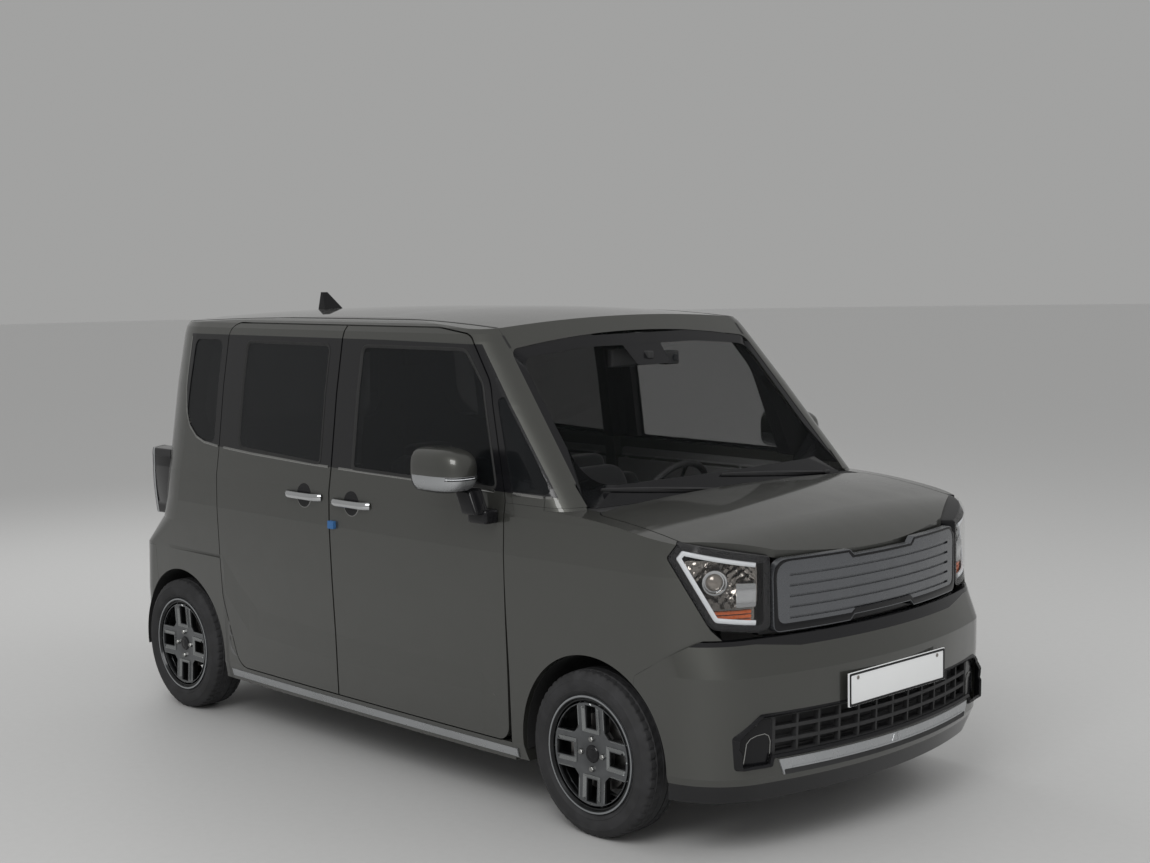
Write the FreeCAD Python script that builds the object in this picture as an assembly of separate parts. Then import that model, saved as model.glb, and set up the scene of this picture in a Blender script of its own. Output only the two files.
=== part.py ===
import FreeCAD, Part
import math
import os

Vector = FreeCAD.Vector

# Tall one-box mini car, left-hand drive. Millimetres, X forward, Y left, Z up,
# origin on the ground under the middle of the car.

# Overall places
LENGTH = 3595.0
WHEELBASE = 2520.0
FRONT_OVERHANG = 665.0
TRACK = 1400.0
TOP_HEIGHT = 1706.0
FRONT_END = LENGTH / 2
REAR_END = -LENGTH / 2
FRONT_AXLE = FRONT_END - FRONT_OVERHANG
REAR_AXLE = FRONT_AXLE - WHEELBASE

# Clearances
SHUT_GAP = 5.0
SPLIT_GAP = 8.0
HEM_STEP = 7.0
SEAM = 0.8
SEAT_GAP = 0.3

# Walls
DOOR_LOW = 72.0
DOOR_TOP = 40.0
WALL_LOW = 92.0
WALL_TOP = 86.0
ROOF_WALL = 24.0
DOOR_SKIN = 30.0
BUMPER_WALL = 30.0
HOOD_WALL = 26.0
GLASS = 5.0
GLASS_SET = 3.0

# Plan curvature of the body
SIDE_RADIUS = 45000.0
NOSE_RADIUS = 1850.0
TAIL_RADIUS = 6000.0
SCREEN_RADIUS = 5700.0

# Lower body: height, half width, nose x, nose corner radius, tail x, tail corner radius
BELT = 1110.0
LOWER_ROWS = (
    (180.0, 758.0, 1735.0, 290.0, -1775.0, 112.0),
    (250.0, 777.0, 1743.0, 300.0, -1793.0, 112.0),
    (480.0, 783.0, 1743.0, 300.0, REAR_END, 112.0),
    (690.0, 792.0, 1743.0, 300.0, -1790.0, 145.0),
    (810.0, 795.5, 1743.0, 300.0, -1748.0, 320.0),
    (900.0, 797.5, 1743.0, 300.0, -1740.0, 365.0),
    (1030.0, 794.0, 1740.0, 300.0, -1729.0, 378.0),
    (BELT, 782.0, 1735.0, 300.0, -1722.0, 380.0),
)

# Cabin, its foot set into the lower body: height, half width, tail x, tail corner radius; its front lies on the
# screen line
SCREEN_FOOT_X = 1083.5
SCREEN_FOOT_Z = 1074.0
SCREEN_SLOPE = 0.883
SCREEN_CORNER = 105.0
UPPER_ROWS = (
    (1040.0, 790.5, -1726.7, 380.0),
    (1400.0, 744.0, -1700.0, 375.0),
    (1608.0, 708.0, -1682.0, 370.0),
    (1634.0, 699.0, -1678.0, 366.0),
    (1654.0, 682.0, -1668.0, 358.0),
    (1666.0, 662.0, -1652.0, 348.0),
    (1672.0, 641.0, -1632.0, 340.0),
    (TOP_HEIGHT + 6.0, 400.0, -1450.0, 330.0),
)

# Roof and hood crowns: side radius and centre-line points (x, z), three to an arc
ROOF_RADIUS = 7000.0
ROOF_LINE = ((620.0, 1672.0), (250.0, 1698.0), (-200.0, TOP_HEIGHT), (-850.0, 1701.0), (-1460.0, 1682.0))
ROOF_TAIL = (-1900.0, 1656.0)
HOOD_RADIUS = 10000.0
HOOD_LINE = ((940.0, 1095.5), (1300.0, 1069.0), (1512.0, 1032.0), (1620.0, 994.0), (1700.0, 940.0))

# Front bumper: height, half width, nose x, corner radius; the plate stands on its nose
PLATE_DEPTH = 9.0
BUMPER_NOSE = FRONT_END - PLATE_DEPTH - SEAT_GAP
BUMPER_ROWS = (
    (185.0, 758.0, 1742.0, 260.0),
    (270.0, 778.0, 1780.0, 260.0),
    (480.0, 783.0, BUMPER_NOSE, 260.0),
    (590.0, 788.0, BUMPER_NOSE, 260.0),
    (700.0, 792.0, 1744.0, 275.0),
)

# Wheels
TYRE_RADIUS = 277.0
TYRE_WIDTH = 165.0
RIM_RADIUS = 178.0
RIM_LIP = 195.0
RIM_WIDTH = 150.0
BEAD_SET = 16.0
HUB_FACE = 38.0
HUB_RADIUS = 66.0
DISC_RADIUS = 128.0
DISC_WIDTH = 20.0
SPOKES = 4
ARCH_FRONT = 328.0
ARCH_REAR = 323.0
LINER_WALL = 5.0
LINER_INNER = 455.0
AXLE_TRAVEL = 50.0
STRUT_RADIUS = 26.0
STRUT_Y = 560.0
KINGPIN_Y = 640.0
KNUCKLE_REACH = 110.0
RAIL_Y = (370.0, 425.0)
ENGINE_FOOT = 450.0

# Doors, side view (x, z, corner radius); they hinge on upright axes just outside their skin
DOOR_FOOT = 245.0
DOOR_HEAD = 1655.0
DOOR_SPLIT = -250.0
JAMB_LAP = 26.0
DOOR_INNER_Y = 646.0
FRONT_DOOR_EDGE = 745.0
FRONT_DOOR = (
    (735.0, DOOR_FOOT, 55.0), (750.0, 1080.0, 60.0), (628.0, 1465.0, 200.0),
    (486.0, DOOR_HEAD - 21.0, 70.0), (300.0, DOOR_HEAD, 400.0), (DOOR_SPLIT + SPLIT_GAP - SHUT_GAP, DOOR_HEAD, 0.0),
    (DOOR_SPLIT + SPLIT_GAP - SHUT_GAP, DOOR_FOOT, 0.0),
)
REAR_DOOR = (
    (DOOR_SPLIT, DOOR_FOOT, 0.0), (DOOR_SPLIT, DOOR_HEAD, 0.0), (-1052.0, DOOR_HEAD, 60.0),
    (-1052.0, 520.0, 200.0), (-950.0, DOOR_FOOT, 90.0),
)
FRONT_WINDOW = (
    (-118.0, 1123.0, 22.0), (-118.0, 1584.0, 35.0), (478.0, 1584.0, 70.0),
    (590.0, 1465.0, 90.0), (702.0, 1114.0, 22.0),
)
REAR_WINDOW = (
    (-322.0, 1127.0, 22.0), (-322.0, 1584.0, 35.0), (-907.0, 1584.0, 35.0), (-907.0, 1152.0, 45.0),
)
QUARTER_FRONT = ((776.0, 1116.0, 12.0), (652.0, 1466.0, 12.0), (962.0, 1116.0, 12.0))
QUARTER_REAR = (
    (-1095.0, 1165.0, 25.0), (-1095.0, 1584.0, 35.0), (-1310.0, 1584.0, 35.0), (-1330.0, 1250.0, 110.0),
    (-1215.0, 1165.0, 80.0),
)
PAD_LENGTH = 60.0
PAD_WIDTH = 12.0
DOOR_PADS = (640.0, 960.0)

# Windscreen, roof, hood and tailgate outlines
SCREEN_ROWS = ((1030.0, 790.0, -1722.0, 380.0), (TOP_HEIGHT + 40.0, 687.0, -1669.0, 360.0))
WIPER_HEIGHT = 16.0
SCREEN = (
    (677.0, 1066.0, 30.0), (615.0, 1579.0, 40.0), (0.0, 1662.0, 4200.0), (-615.0, 1579.0, 40.0), (-677.0, 1066.0, 30.0),
)
ROOF_HALF = 610.0
ROOF_REAR = -1540.0
HOOD_HALF = 710.0
HOOD_REAR = 1110.0
HOOD_PLAN = (
    (HOOD_REAR, -HOOD_HALF, 55.0), (1500.0, -HOOD_HALF, 25.0), (1648.0, -446.0, 40.0), (1756.0, 0.0, 1800.0),
    (1648.0, 446.0, 40.0), (1500.0, HOOD_HALF, 25.0), (HOOD_REAR, HOOD_HALF, 55.0),
)
FENDER_TOP = 1074.0
TAILGATE_FOOT = 692.0
TAILGATE = (
    (600.0, TAILGATE_FOOT, 30.0), (600.0, 1110.0, 300.0), (585.0, 1800.0, 0.0), (-585.0, 1800.0, 0.0),
    (-600.0, 1110.0, 300.0), (-600.0, TAILGATE_FOOT, 30.0),
)
REAR_WINDOW_FRAME = ((520.0, 1150.0, 60.0), (500.0, 1560.0, 60.0), (-500.0, 1560.0, 60.0), (-520.0, 1150.0, 60.0))

# Front end
BUMPER_SIDE = (
    (1250.0, 150.0, 0.0), (1338.0, 571.0, 0.0), (1568.0, 703.0, 0.0), (1900.0, 703.0, 0.0), (1900.0, 150.0, 0.0),
)
INTAKE = (
    (528.0, 326.0, 0.0), (534.0, 300.0, 0.0), (648.0, 300.0, 12.0), (656.0, 404.0, 16.0), (575.0, 470.0, 24.0),
    (-575.0, 470.0, 24.0), (-656.0, 404.0, 16.0), (-648.0, 300.0, 12.0), (-534.0, 300.0, 0.0), (-528.0, 326.0, 0.0),
)
INTAKE_BARS = 3
INTAKE_CELLS = 12
INTAKE_CELLS_HALF = 516.0
PANEL = (
    (486.0, 712.0, 24.0), (490.0, 944.0, 60.0), (172.0, 944.0, 0.0), (152.0, 926.0, 0.0), (-152.0, 926.0, 0.0),
    (-172.0, 944.0, 0.0), (-490.0, 944.0, 60.0), (-486.0, 712.0, 24.0), (-172.0, 712.0, 0.0), (-152.0, 730.0, 0.0),
    (152.0, 730.0, 0.0), (172.0, 712.0, 0.0),
)
LOUVRES = 5
LOUVRE_FOOT = 750.0
LOUVRE_PITCH = 34.0
LOUVRE_HEIGHT = 8.0
LOUVRE_DEPTH = 7.0
LOUVRE_HALF = 425.0
PANEL_WALL = 24.0
PANEL_SET = 2.0
CARRIER_WALL = 24.0
SKID_HALF = 490.0
SKID_LOW = 268.0
SKID_HIGH = 320.0
PLATE_SIZE = (520.0, 110.0)
PLATE_Z = 506.0

# Headlight, seen along its own slanted line: distance out from the nose corner, height, corner radius
LAMP_TURN = math.radians(48.7)
LAMP_ORIGIN = (1677.0, 500.0)
HEADLIGHT = ((0.0, 955.0, 12.0), (0.0, 712.0, 40.0), (196.0, 737.0, 45.0), (326.0, 962.0, 14.0), (290.0, 1012.0, 10.0))
LAMP_DEPTH = 95.0

# Tail lamp, rear bumper and the slot that the sliding door's rail runs in
TAIL_LAMP_ROWS = ((808.0, 795.0), (1102.0, 790.0))
TAIL_LAMP_END = -1788.0
TAIL_LAMP_CORNER = 240.0
TAIL_LAMP = (
    (612.0, 808.0, 0.0), (684.0, 808.0, 0.0), (742.0, 1030.0, 0.0), (742.0, 1074.0, 0.0), (712.0, 1102.0, 0.0),
    (612.0, 1102.0, 0.0),
)
LAMP_WALL = 60.0
REAR_BUMPER_TOP = 684.0
REAR_BUMPER_FRONT = -1594.0
RAIL_SLOT = (-1662.0, -1040.0, 768.0, 1000.0, 686.0, 699.0)

# Door handles and steering wheel
HANDLE_LENGTH = 240.0
HANDLE_HEIGHT = 30.0
HANDLE_STAND = 30.0
HANDLE_HOLLOW = 15.0
HANDLE_FOOT = 26.0
STEERING_CENTRE = (425.0, 370.0, 925.0)
COLUMN_RAKE = 62.0

FRONT_HANDLE = (-106.0, 997.0)
REAR_HANDLE = (-413.0, 1003.0)

# Floor and cabin
FLOOR_Z = 205.0
REAR_PANEL_X = -1741.0
REAR_PANEL_HALF = 450.0
COWL_TOP = 1065.5
REAR_FLOOR_Z = 395.0
REAR_STEP_X = -1035.0
FLOOR_WALL = 25.0
FIREWALL_X = 775.0
FIREWALL_WALL = 12.0


def circles_meet(first, first_radius, second, second_radius, choose):
    """Point where two circles cross, of the two the one that choose ranks highest."""
    dx, dy = second[0] - first[0], second[1] - first[1]
    apart = math.hypot(dx, dy)
    along = (first_radius ** 2 - second_radius ** 2 + apart ** 2) / (2 * apart)
    off = math.sqrt(first_radius ** 2 - along ** 2)
    mid_x, mid_y = first[0] + along * dx / apart, first[1] + along * dy / apart
    points = [(mid_x + off * dy / apart, mid_y - off * dx / apart),
              (mid_x - off * dy / apart, mid_y + off * dx / apart)]
    return max(points, key=choose)


def plan_arc(centre, radius, start, end, z):
    """Shorter arc about centre from start to end, at height z."""
    first = math.atan2(start[1] - centre[1], start[0] - centre[0])
    last = math.atan2(end[1] - centre[1], end[0] - centre[0])
    turn = (last - first + math.pi) % (2 * math.pi) - math.pi
    places = [Vector(centre[0] + radius * math.cos(a), centre[1] + radius * math.sin(a), z)
              for a in (first, first + turn / 2, first + turn)]
    return Part.Arc(*places).toShape()


def plan_outline(z, half_width, nose, nose_corner, tail, tail_corner, nose_radius, inset):
    """Closed plan of the body at height z: nose, corner, side and tail arcs, all tangent."""
    big_nose, small_nose = nose_radius - inset, nose_corner - inset
    big_tail, small_tail = TAIL_RADIUS - inset, tail_corner - inset
    big_side = SIDE_RADIUS - inset
    nose_centre = (nose - inset - big_nose, 0.0)
    tail_centre = (tail + inset + big_tail, 0.0)
    side_centre = (0.0, half_width - inset - big_side)
    front = circles_meet(nose_centre, big_nose - small_nose, side_centre, big_side - small_nose, sum)
    rear = circles_meet(tail_centre, big_tail - small_tail, side_centre, big_side - small_tail,
                        lambda p: p[1] - p[0])

    def touch(corner, centre, radius):
        apart = math.hypot(corner[0] - centre[0], corner[1] - centre[1])
        return (centre[0] + (corner[0] - centre[0]) * radius / apart,
                centre[1] + (corner[1] - centre[1]) * radius / apart)

    def other(point):
        return (point[0], -point[1])

    a, b = touch(front, nose_centre, big_nose), touch(front, side_centre, big_side)
    c, d = touch(rear, side_centre, big_side), touch(rear, tail_centre, big_tail)
    runs = (
        (nose_centre, big_nose, other(a), a), (front, small_nose, a, b),
        (side_centre, big_side, b, c), (rear, small_tail, c, d),
        (tail_centre, big_tail, d, other(d)), (other(rear), small_tail, other(d), other(c)),
        (other(side_centre), big_side, other(c), other(b)), (other(front), small_nose, other(b), other(a)),
    )
    return Part.Wire([plan_arc(centre, radius, start, end, z) for centre, radius, start, end in runs])


def lower_loft(inset):
    """Body below the belt, each outline drawn in by inset."""
    return Part.makeLoft([plan_outline(*row, NOSE_RADIUS, inset) for row in LOWER_ROWS], True, True)


def upper_loft(inset, rows=UPPER_ROWS):
    """Body above the belt with the raked windscreen as its front."""
    outlines = []
    for z, half_width, tail, tail_corner in rows:
        nose = SCREEN_FOOT_X - (z - SCREEN_FOOT_Z) * SCREEN_SLOPE
        outlines.append(plan_outline(z, half_width, nose, SCREEN_CORNER, tail, tail_corner, SCREEN_RADIUS, inset))
    return Part.makeLoft(outlines, True, True)


def bumper_loft(inset):
    """Front bumper form, running back to the tail so that its sides match the body's."""
    return Part.makeLoft([plan_outline(z, w, nose, corner, -1740.0, 300.0, NOSE_RADIUS, inset)
                          for z, w, nose, corner in BUMPER_ROWS], True, True)


def arc3(points):
    return Part.Arc(*[Vector(x, 0.0, z) for x, z in points]).toShape()


def line(a, b):
    return Part.LineSegment(Vector(a[0], 0.0, a[1]), Vector(b[0], 0.0, b[1])).toShape()


def crown(edges, start, end, radius, foot=-300.0):
    """Solid under a centre-line, crowned from side to side about a far lengthwise axis."""
    low_end, low_start = (end[0], foot), (start[0], foot)
    wire = Part.Wire(edges + [line(end, low_end), line(low_end, low_start), line(low_start, start)])
    half_turn = math.degrees(math.asin(950.0 / radius))
    centre = Vector(0.0, 0.0, TOP_HEIGHT - radius)
    solid = Part.Face(wire).revolve(centre, Vector(1.0, 0.0, 0.0), 2 * half_turn)
    solid.rotate(centre, Vector(1.0, 0.0, 0.0), -half_turn)
    return solid


def roof_crown(drop):
    """Everything under the roof surface, lowered by drop."""
    line_points = [(x, z - drop) for x, z in ROOF_LINE]
    front = (2300.0, line_points[0][1])
    tail = (ROOF_TAIL[0], ROOF_TAIL[1] - drop)
    edges = [line(front, line_points[0]), arc3(line_points[:3]), arc3(line_points[2:]), line(line_points[-1], tail)]
    return crown(edges, front, tail, ROOF_RADIUS)


def hood_crown(drop):
    """Everything under the hood surface, lowered by drop; open above behind the hood."""
    line_points = [(x, z - drop) for x, z in HOOD_LINE]
    front = (2300.0, line_points[-1][1] - 500.0)
    step = (line_points[0][0], BELT + 200.0)
    tail = (-2000.0, BELT + 200.0)
    edges = [line(front, line_points[-1]), arc3(line_points[:1:-1]), arc3(line_points[2::-1]),
             line(line_points[0], step), line(step, tail)]
    return crown(edges, front, tail, HOOD_RADIUS, -400.0)


def rounded(points, place):
    """Closed wire through corners (a, b, radius), set in space by place(a, b)."""
    count = len(points)
    stops = []
    for i, (a, b, radius) in enumerate(points):
        before, after = points[i - 1], points[(i + 1) % count]
        if not radius:
            stops.append(((a, b), None, (a, b)))
            continue
        in_length = math.hypot(before[0] - a, before[1] - b)
        out_length = math.hypot(after[0] - a, after[1] - b)
        u = ((before[0] - a) / in_length, (before[1] - b) / in_length)
        v = ((after[0] - a) / out_length, (after[1] - b) / out_length)
        half = math.acos(max(-1.0, min(1.0, u[0] * v[0] + u[1] * v[1]))) / 2
        run = radius / math.tan(half)
        start, end = (a + u[0] * run, b + u[1] * run), (a + v[0] * run, b + v[1] * run)
        bisect = (u[0] + v[0], u[1] + v[1])
        size = math.hypot(*bisect)
        reach = radius / math.sin(half) - radius
        stops.append((start, (a + bisect[0] / size * reach, b + bisect[1] / size * reach), end))
    edges = []
    for i, (start, middle, end) in enumerate(stops):
        if middle:
            edges.append(Part.Arc(place(*start), place(*middle), place(*end)).toShape())
        nxt = stops[(i + 1) % count][0]
        if math.hypot(nxt[0] - end[0], nxt[1] - end[1]) > 0.01:
            edges.append(Part.LineSegment(place(*end), place(*nxt)).toShape())
    return Part.Wire(edges)


def side_prism(points, y0, y1):
    """Side-view outline pushed from y0 to y1."""
    return Part.Face(rounded(points, lambda x, z: Vector(x, y0, z))).extrude(Vector(0.0, y1 - y0, 0.0))


def front_prism(points, x0, x1):
    """Front-view outline (y, z) pushed from x0 to x1."""
    return Part.Face(rounded(points, lambda y, z: Vector(x0, y, z))).extrude(Vector(x1 - x0, 0.0, 0.0))


def top_prism(points, z0, z1):
    """Plan outline (x, y) pushed from z0 to z1."""
    return Part.Face(rounded(points, lambda x, y: Vector(x, y, z0))).extrude(Vector(0.0, 0.0, z1 - z0))


def grown(points, step):
    """Outline with every side moved out by step (in, if negative), corner radii following."""
    count = len(points)
    area = sum(points[i - 1][0] * points[i][1] - points[i][0] * points[i - 1][1] for i in range(count))
    sign = 1.0 if area > 0 else -1.0
    lines = []
    for i in range(count):
        (ax, ay, _), (bx, by, _) = points[i - 1], points[i]
        length = math.hypot(bx - ax, by - ay)
        nx, ny = sign * (by - ay) / length, -sign * (bx - ax) / length
        lines.append((nx, ny, nx * ax + ny * ay + step))
    corners = []
    for i in range(count):
        (a1, b1, c1), (a2, b2, c2) = lines[i], lines[(i + 1) % count]
        det = a1 * b2 - a2 * b1
        radius = points[i][2]
        turn_out = (points[i][0] - points[i - 1][0]) * (points[(i + 1) % count][1] - points[i][1]) \
            - (points[i][1] - points[i - 1][1]) * (points[(i + 1) % count][0] - points[i][0])
        change = step if turn_out * sign > 0 else -step
        corners.append(((c1 * b2 - c2 * b1) / det, (a1 * c2 - a2 * c1) / det,
                        max(radius + change, 1.0) if radius else 0.0))
    return corners


def box(x0, x1, y0, y1, z0, z1):
    return Part.makeBox(x1 - x0, y1 - y0, z1 - z0, Vector(x0, y0, z0))


def tube_y(x, z, radius, y0, y1):
    """Round bar along Y."""
    return Part.makeCylinder(radius, y1 - y0, Vector(x, y0, z), Vector(0.0, 1.0, 0.0))


def mirrored(shape):
    return shape.mirror(Vector(0.0, 0.0, 0.0), Vector(0.0, 1.0, 0.0))


def fuse(shapes):
    return shapes[0].fuse(shapes[1:]).removeSplitter()


def save(name, shapes):
    """Write one sub-part; several solids share a node when they do not touch."""
    shapes = shapes if isinstance(shapes, list) else [shapes]
    solids = [solid for shape in shapes for solid in shape.Solids]
    body = solids[0] if len(solids) == 1 else Part.makeCompound(solids)
    body.exportStep("parts/" + name + ".step")


def body_form(low_inset, top_inset):
    """Whole body, drawn in by one inset below the belt and another above it."""
    low = lower_loft(low_inset).common(hood_crown(low_inset))
    top = upper_loft(top_inset).common(roof_crown(top_inset))
    return low.fuse(top)


def lamp_prism(points, side, depth=500.0):
    """Headlight outline pushed back and inwards from the nose corner; side is +1 left, -1 right."""
    out_x, out_y = -math.cos(LAMP_TURN), math.sin(LAMP_TURN)
    ahead_x, ahead_y = math.sin(LAMP_TURN), math.cos(LAMP_TURN)

    def place(along, z):
        x = LAMP_ORIGIN[0] + out_x * along + ahead_x * depth / 2
        y = LAMP_ORIGIN[1] + out_y * along + ahead_y * depth / 2
        return Vector(x, side * y, z)

    push = Vector(-ahead_x * depth, -side * ahead_y * depth, 0.0)
    return Part.Face(rounded(points, place)).extrude(push)


def arch(x, radius):
    """Wheel opening on the left, from inside the liner to outside the body."""
    return tube_y(x, TYRE_RADIUS, radius, LINER_INNER - 15.0, 1000.0)


def liner(x, radius, within, cap):
    """Half-round inner arch on the left; its inner wall, if any, is open below for the axle."""
    low, high = TYRE_RADIUS - 50.0, TYRE_RADIUS + radius + 2 * LINER_WALL
    ring = tube_y(x, TYRE_RADIUS, radius + LINER_WALL, LINER_INNER, 780.0).cut(
        tube_y(x, TYRE_RADIUS, radius, LINER_INNER + (LINER_WALL if cap else -LINER_WALL), 790.0))
    ring = ring.common(box(x - 500.0, x + 500.0, 0.0, 1000.0, low, high)).common(within)
    return ring.cut(box(x - radius, x + radius, 0.0, LINER_INNER + 2 * LINER_WALL, 0.0, TYRE_RADIUS + AXLE_TRAVEL))


def body_side(side, form):
    """A-pillar, cantrail, jamb, sill and rear quarter, with its wheel arch liner."""
    aperture = [side_prism(grown(door, -JAMB_LAP), 0.0, 1000.0) for door in (FRONT_DOOR, REAR_DOOR)]
    if side < 0:
        aperture.append(box(*RAIL_SLOT))
        aperture.append(box(DOOR_SPLIT - 2 * JAMB_LAP, DOOR_SPLIT + 2 * JAMB_LAP, 0.0, 1000.0,
                            DOOR_FOOT + JAMB_LAP, DOOR_HEAD - JAMB_LAP))
    fender_rear = FRONT_DOOR_EDGE + SHUT_GAP / 2
    inner_y = DOOR_INNER_Y - SHUT_GAP
    rebate = [side_prism(grown(door, SHUT_GAP / 2), inner_y, 1000.0) for door in (FRONT_DOOR, REAR_DOOR)]
    rebate.append(box(FRONT_DOOR_EDGE - 60.0, fender_rear, inner_y, 1000.0, DOOR_FOOT, FENDER_TOP))
    rear_edge = ((REAR_BUMPER_FRONT + SEAM, 100.0, 0.0), (REAR_BUMPER_FRONT + SEAM, REAR_BUMPER_TOP + SEAM, 0.0),
                 (-2000.0, REAR_BUMPER_TOP + SEAM, 0.0), (-2000.0, 100.0, 0.0))
    tools = aperture + [shape.cut(form["seal"]) for shape in rebate] + [
        side_prism(QUARTER_FRONT, 300.0, 1000.0),
        side_prism(QUARTER_REAR, 300.0, 1000.0),
        front_prism(SCREEN, 300.0, 1400.0),
        box(ROOF_REAR - SHUT_GAP, 720.0, -10.0, ROOF_HALF + SEAM, 1400.0, 2000.0),
        front_prism(grown(TAILGATE, SHUT_GAP), -2000.0, ROOF_REAR),
        box(-2000.0, -1500.0, -10.0, TAILGATE[0][0] + SHUT_GAP, REAR_BUMPER_TOP, TAILGATE_FOOT),
        side_prism(rear_edge, -10.0, 1000.0),
        box(fender_rear - SEAM, 2300.0, -10.0, 1000.0, 0.0, FENDER_TOP + SEAM),
        box(HOOD_REAR - SHUT_GAP, 2300.0, -10.0, 1000.0, 0.0, 2000.0),
        box(980.0, 2300.0, -10.0, 677.0, 900.0, 1500.0),
        arch(REAR_AXLE, ARCH_REAR),
        form["tail_lamp_seat"],
    ]
    half = form["wall"].common(box(-2000.0, 2300.0, 0.0, 1000.0, 0.0, 2000.0))
    return half.cut(tools).fuse(liner(REAR_AXLE, ARCH_REAR, form["liner_zone"], True))


def door_shell(outline, window, pad_x, form):
    """Door as thick as the real one: hemmed skin, inner pan, window and the pads that meet the jamb."""
    skin = form["skin"].common(side_prism(grown(outline, -SHUT_GAP / 2), DOOR_INNER_Y, 1000.0))
    pan = form["pan"].common(side_prism(grown(outline, -SHUT_GAP / 2 - HEM_STEP), DOOR_INNER_Y, 1000.0))
    pads = [box(x, x + PAD_WIDTH, 300.0, 1000.0, z, z + PAD_LENGTH) for x in pad_x for z in DOOR_PADS]
    shell = skin.fuse([pan] + [form["pad"].common(pad) for pad in pads])
    return shell.cut(side_prism(window, 300.0, 1000.0))


def door_glass(window, glass):
    return glass.common(side_prism(grown(window, -SEAT_GAP), 300.0, 1000.0))


def fender(form):
    """Front fender with its liner: skin from the door to the headlight and the bumper seam."""
    out_x, out_z = HEADLIGHT[4][0], HEADLIGHT[4][1]
    ahead = [(-400.0, 1200.0, 0.0), (-400.0, 600.0, 0.0), (90.0, 640.0, 0.0), HEADLIGHT[2], HEADLIGHT[3],
             (out_x, out_z, 0.0), (out_x - 60.0, 1200.0, 0.0)]
    tools = [
        top_prism(grown(HOOD_PLAN, SHUT_GAP), 500.0, 1300.0),
        side_prism(grown(BUMPER_SIDE, SEAM), -10.0, 1000.0),
        side_prism(grown(FRONT_DOOR, SHUT_GAP / 2), -10.0, 1000.0),
        lamp_prism(grown(HEADLIGHT, SEAM), 1.0, 900.0),
        lamp_prism(ahead, 1.0, 900.0),
        arch(FRONT_AXLE, ARCH_FRONT),
        box(0.0, 2300.0, -10.0, 560.0, 0.0, 2000.0),
        form["cowl_space"],
    ]
    zone = box(FRONT_DOOR_EDGE + SHUT_GAP / 2, 1620.0, 0.0, 1000.0, 190.0, FENDER_TOP)
    skin = form["wall"].common(zone)
    for tool in tools:
        skin = skin.cut(tool)
    inner = form["liner_zone"].common(box(FIREWALL_X + FIREWALL_WALL + SEAM, 1620.0, 0.0, 1000.0, 0.0, 940.0))
    tower = Part.makeCylinder(STRUT_RADIUS + SEAM, 900.0, Vector(FRONT_AXLE, STRUT_Y, 0.0))
    return skin.fuse(liner(FRONT_AXLE, ARCH_FRONT, inner, False)).cut(tower)


def tyre():
    """Tyre about the origin with chamfered shoulders, its beads just clear of the rim."""
    half = TYRE_WIDTH / 2
    bead = half - BEAD_SET
    right = [(bead, RIM_RADIUS + SEAT_GAP, 0.0), (bead, RIM_LIP + 2.0, 0.0), (half - 3.0, RIM_LIP + 10.0, 0.0),
             (half, RIM_LIP + 30.0, 0.0), (half - 2.0, TYRE_RADIUS - 26.0, 0.0), (half - 10.0, TYRE_RADIUS - 9.0, 0.0),
             (half - 26.0, TYRE_RADIUS, 0.0)]
    points = right + [(-a, r, c) for a, r, c in reversed(right)]
    face = Part.Face(rounded(points, lambda a, r: Vector(0.0, a, r)))
    return face.revolve(Vector(0.0, 0.0, 0.0), Vector(0.0, 1.0, 0.0), 360.0)


def rim(side):
    """Alloy wheel about the origin: barrel with lips, and a face of broad pocketed spokes; side +1 faces +Y."""
    half = RIM_WIDTH / 2
    seat_edge = TYRE_WIDTH / 2 - BEAD_SET
    barrel = [(-half, RIM_LIP, 0.0), (-half, RIM_RADIUS - 6.0, 0.0), (-half + 30.0, RIM_RADIUS - 12.0, 0.0),
              (half - 34.0, RIM_RADIUS - 12.0, 0.0), (half, RIM_LIP - 9.0, 0.0), (half, RIM_LIP, 0.0),
              (seat_edge + 1.0, RIM_LIP, 0.0), (seat_edge + 1.0, RIM_RADIUS, 0.0),
              (-seat_edge - 1.0, RIM_RADIUS, 0.0), (-seat_edge - 1.0, RIM_LIP, 0.0)]
    back, front = HUB_FACE + SEAT_GAP, HUB_FACE + 20.0
    face = [(back, 0.0, 0.0), (back, 80.0, 0.0), (HUB_FACE + 4.0, RIM_RADIUS - 8.0, 0.0),
            (HUB_FACE + 30.0, RIM_RADIUS - 8.0, 0.0), (front + 4.0, 70.0, 0.0), (front, 0.0, 0.0)]
    axis = Vector(0.0, 1.0, 0.0)
    shapes = []
    for profile in (barrel, face):
        wire = rounded([(side * a, r, c) for a, r, c in profile], lambda a, r: Vector(0.0, a, r))
        shapes.append(Part.Face(wire).revolve(Vector(0.0, 0.0, 0.0), axis, 360.0))
    pocket = [(-24.0, 84.0, 0.0), (24.0, 84.0, 0.0), (24.0, 161.0, 0.0), (-24.0, 161.0, 0.0)]
    window = [(-13.0, 100.0, 0.0), (13.0, 100.0, 0.0), (67.0, 154.0, 0.0), (35.0, 164.5, 0.0), (0.0, 168.0, 0.0),
              (-35.0, 164.5, 0.0), (-67.0, 154.0, 0.0)]
    cuts = []
    for i in range(SPOKES):
        for points, offset in ((pocket, 0.0), (window, 180.0 / SPOKES)):
            wire = rounded(points, lambda a, r: Vector(a, -100.0, r))
            cut = Part.Face(wire).extrude(Vector(0.0, 200.0, 0.0))
            cut.rotate(Vector(0.0, 0.0, 0.0), axis, 360.0 * i / SPOKES + offset)
            cuts.append(cut)
    barrel_solid, face_solid = shapes
    return barrel_solid.fuse(face_solid.cut(cuts))


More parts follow.
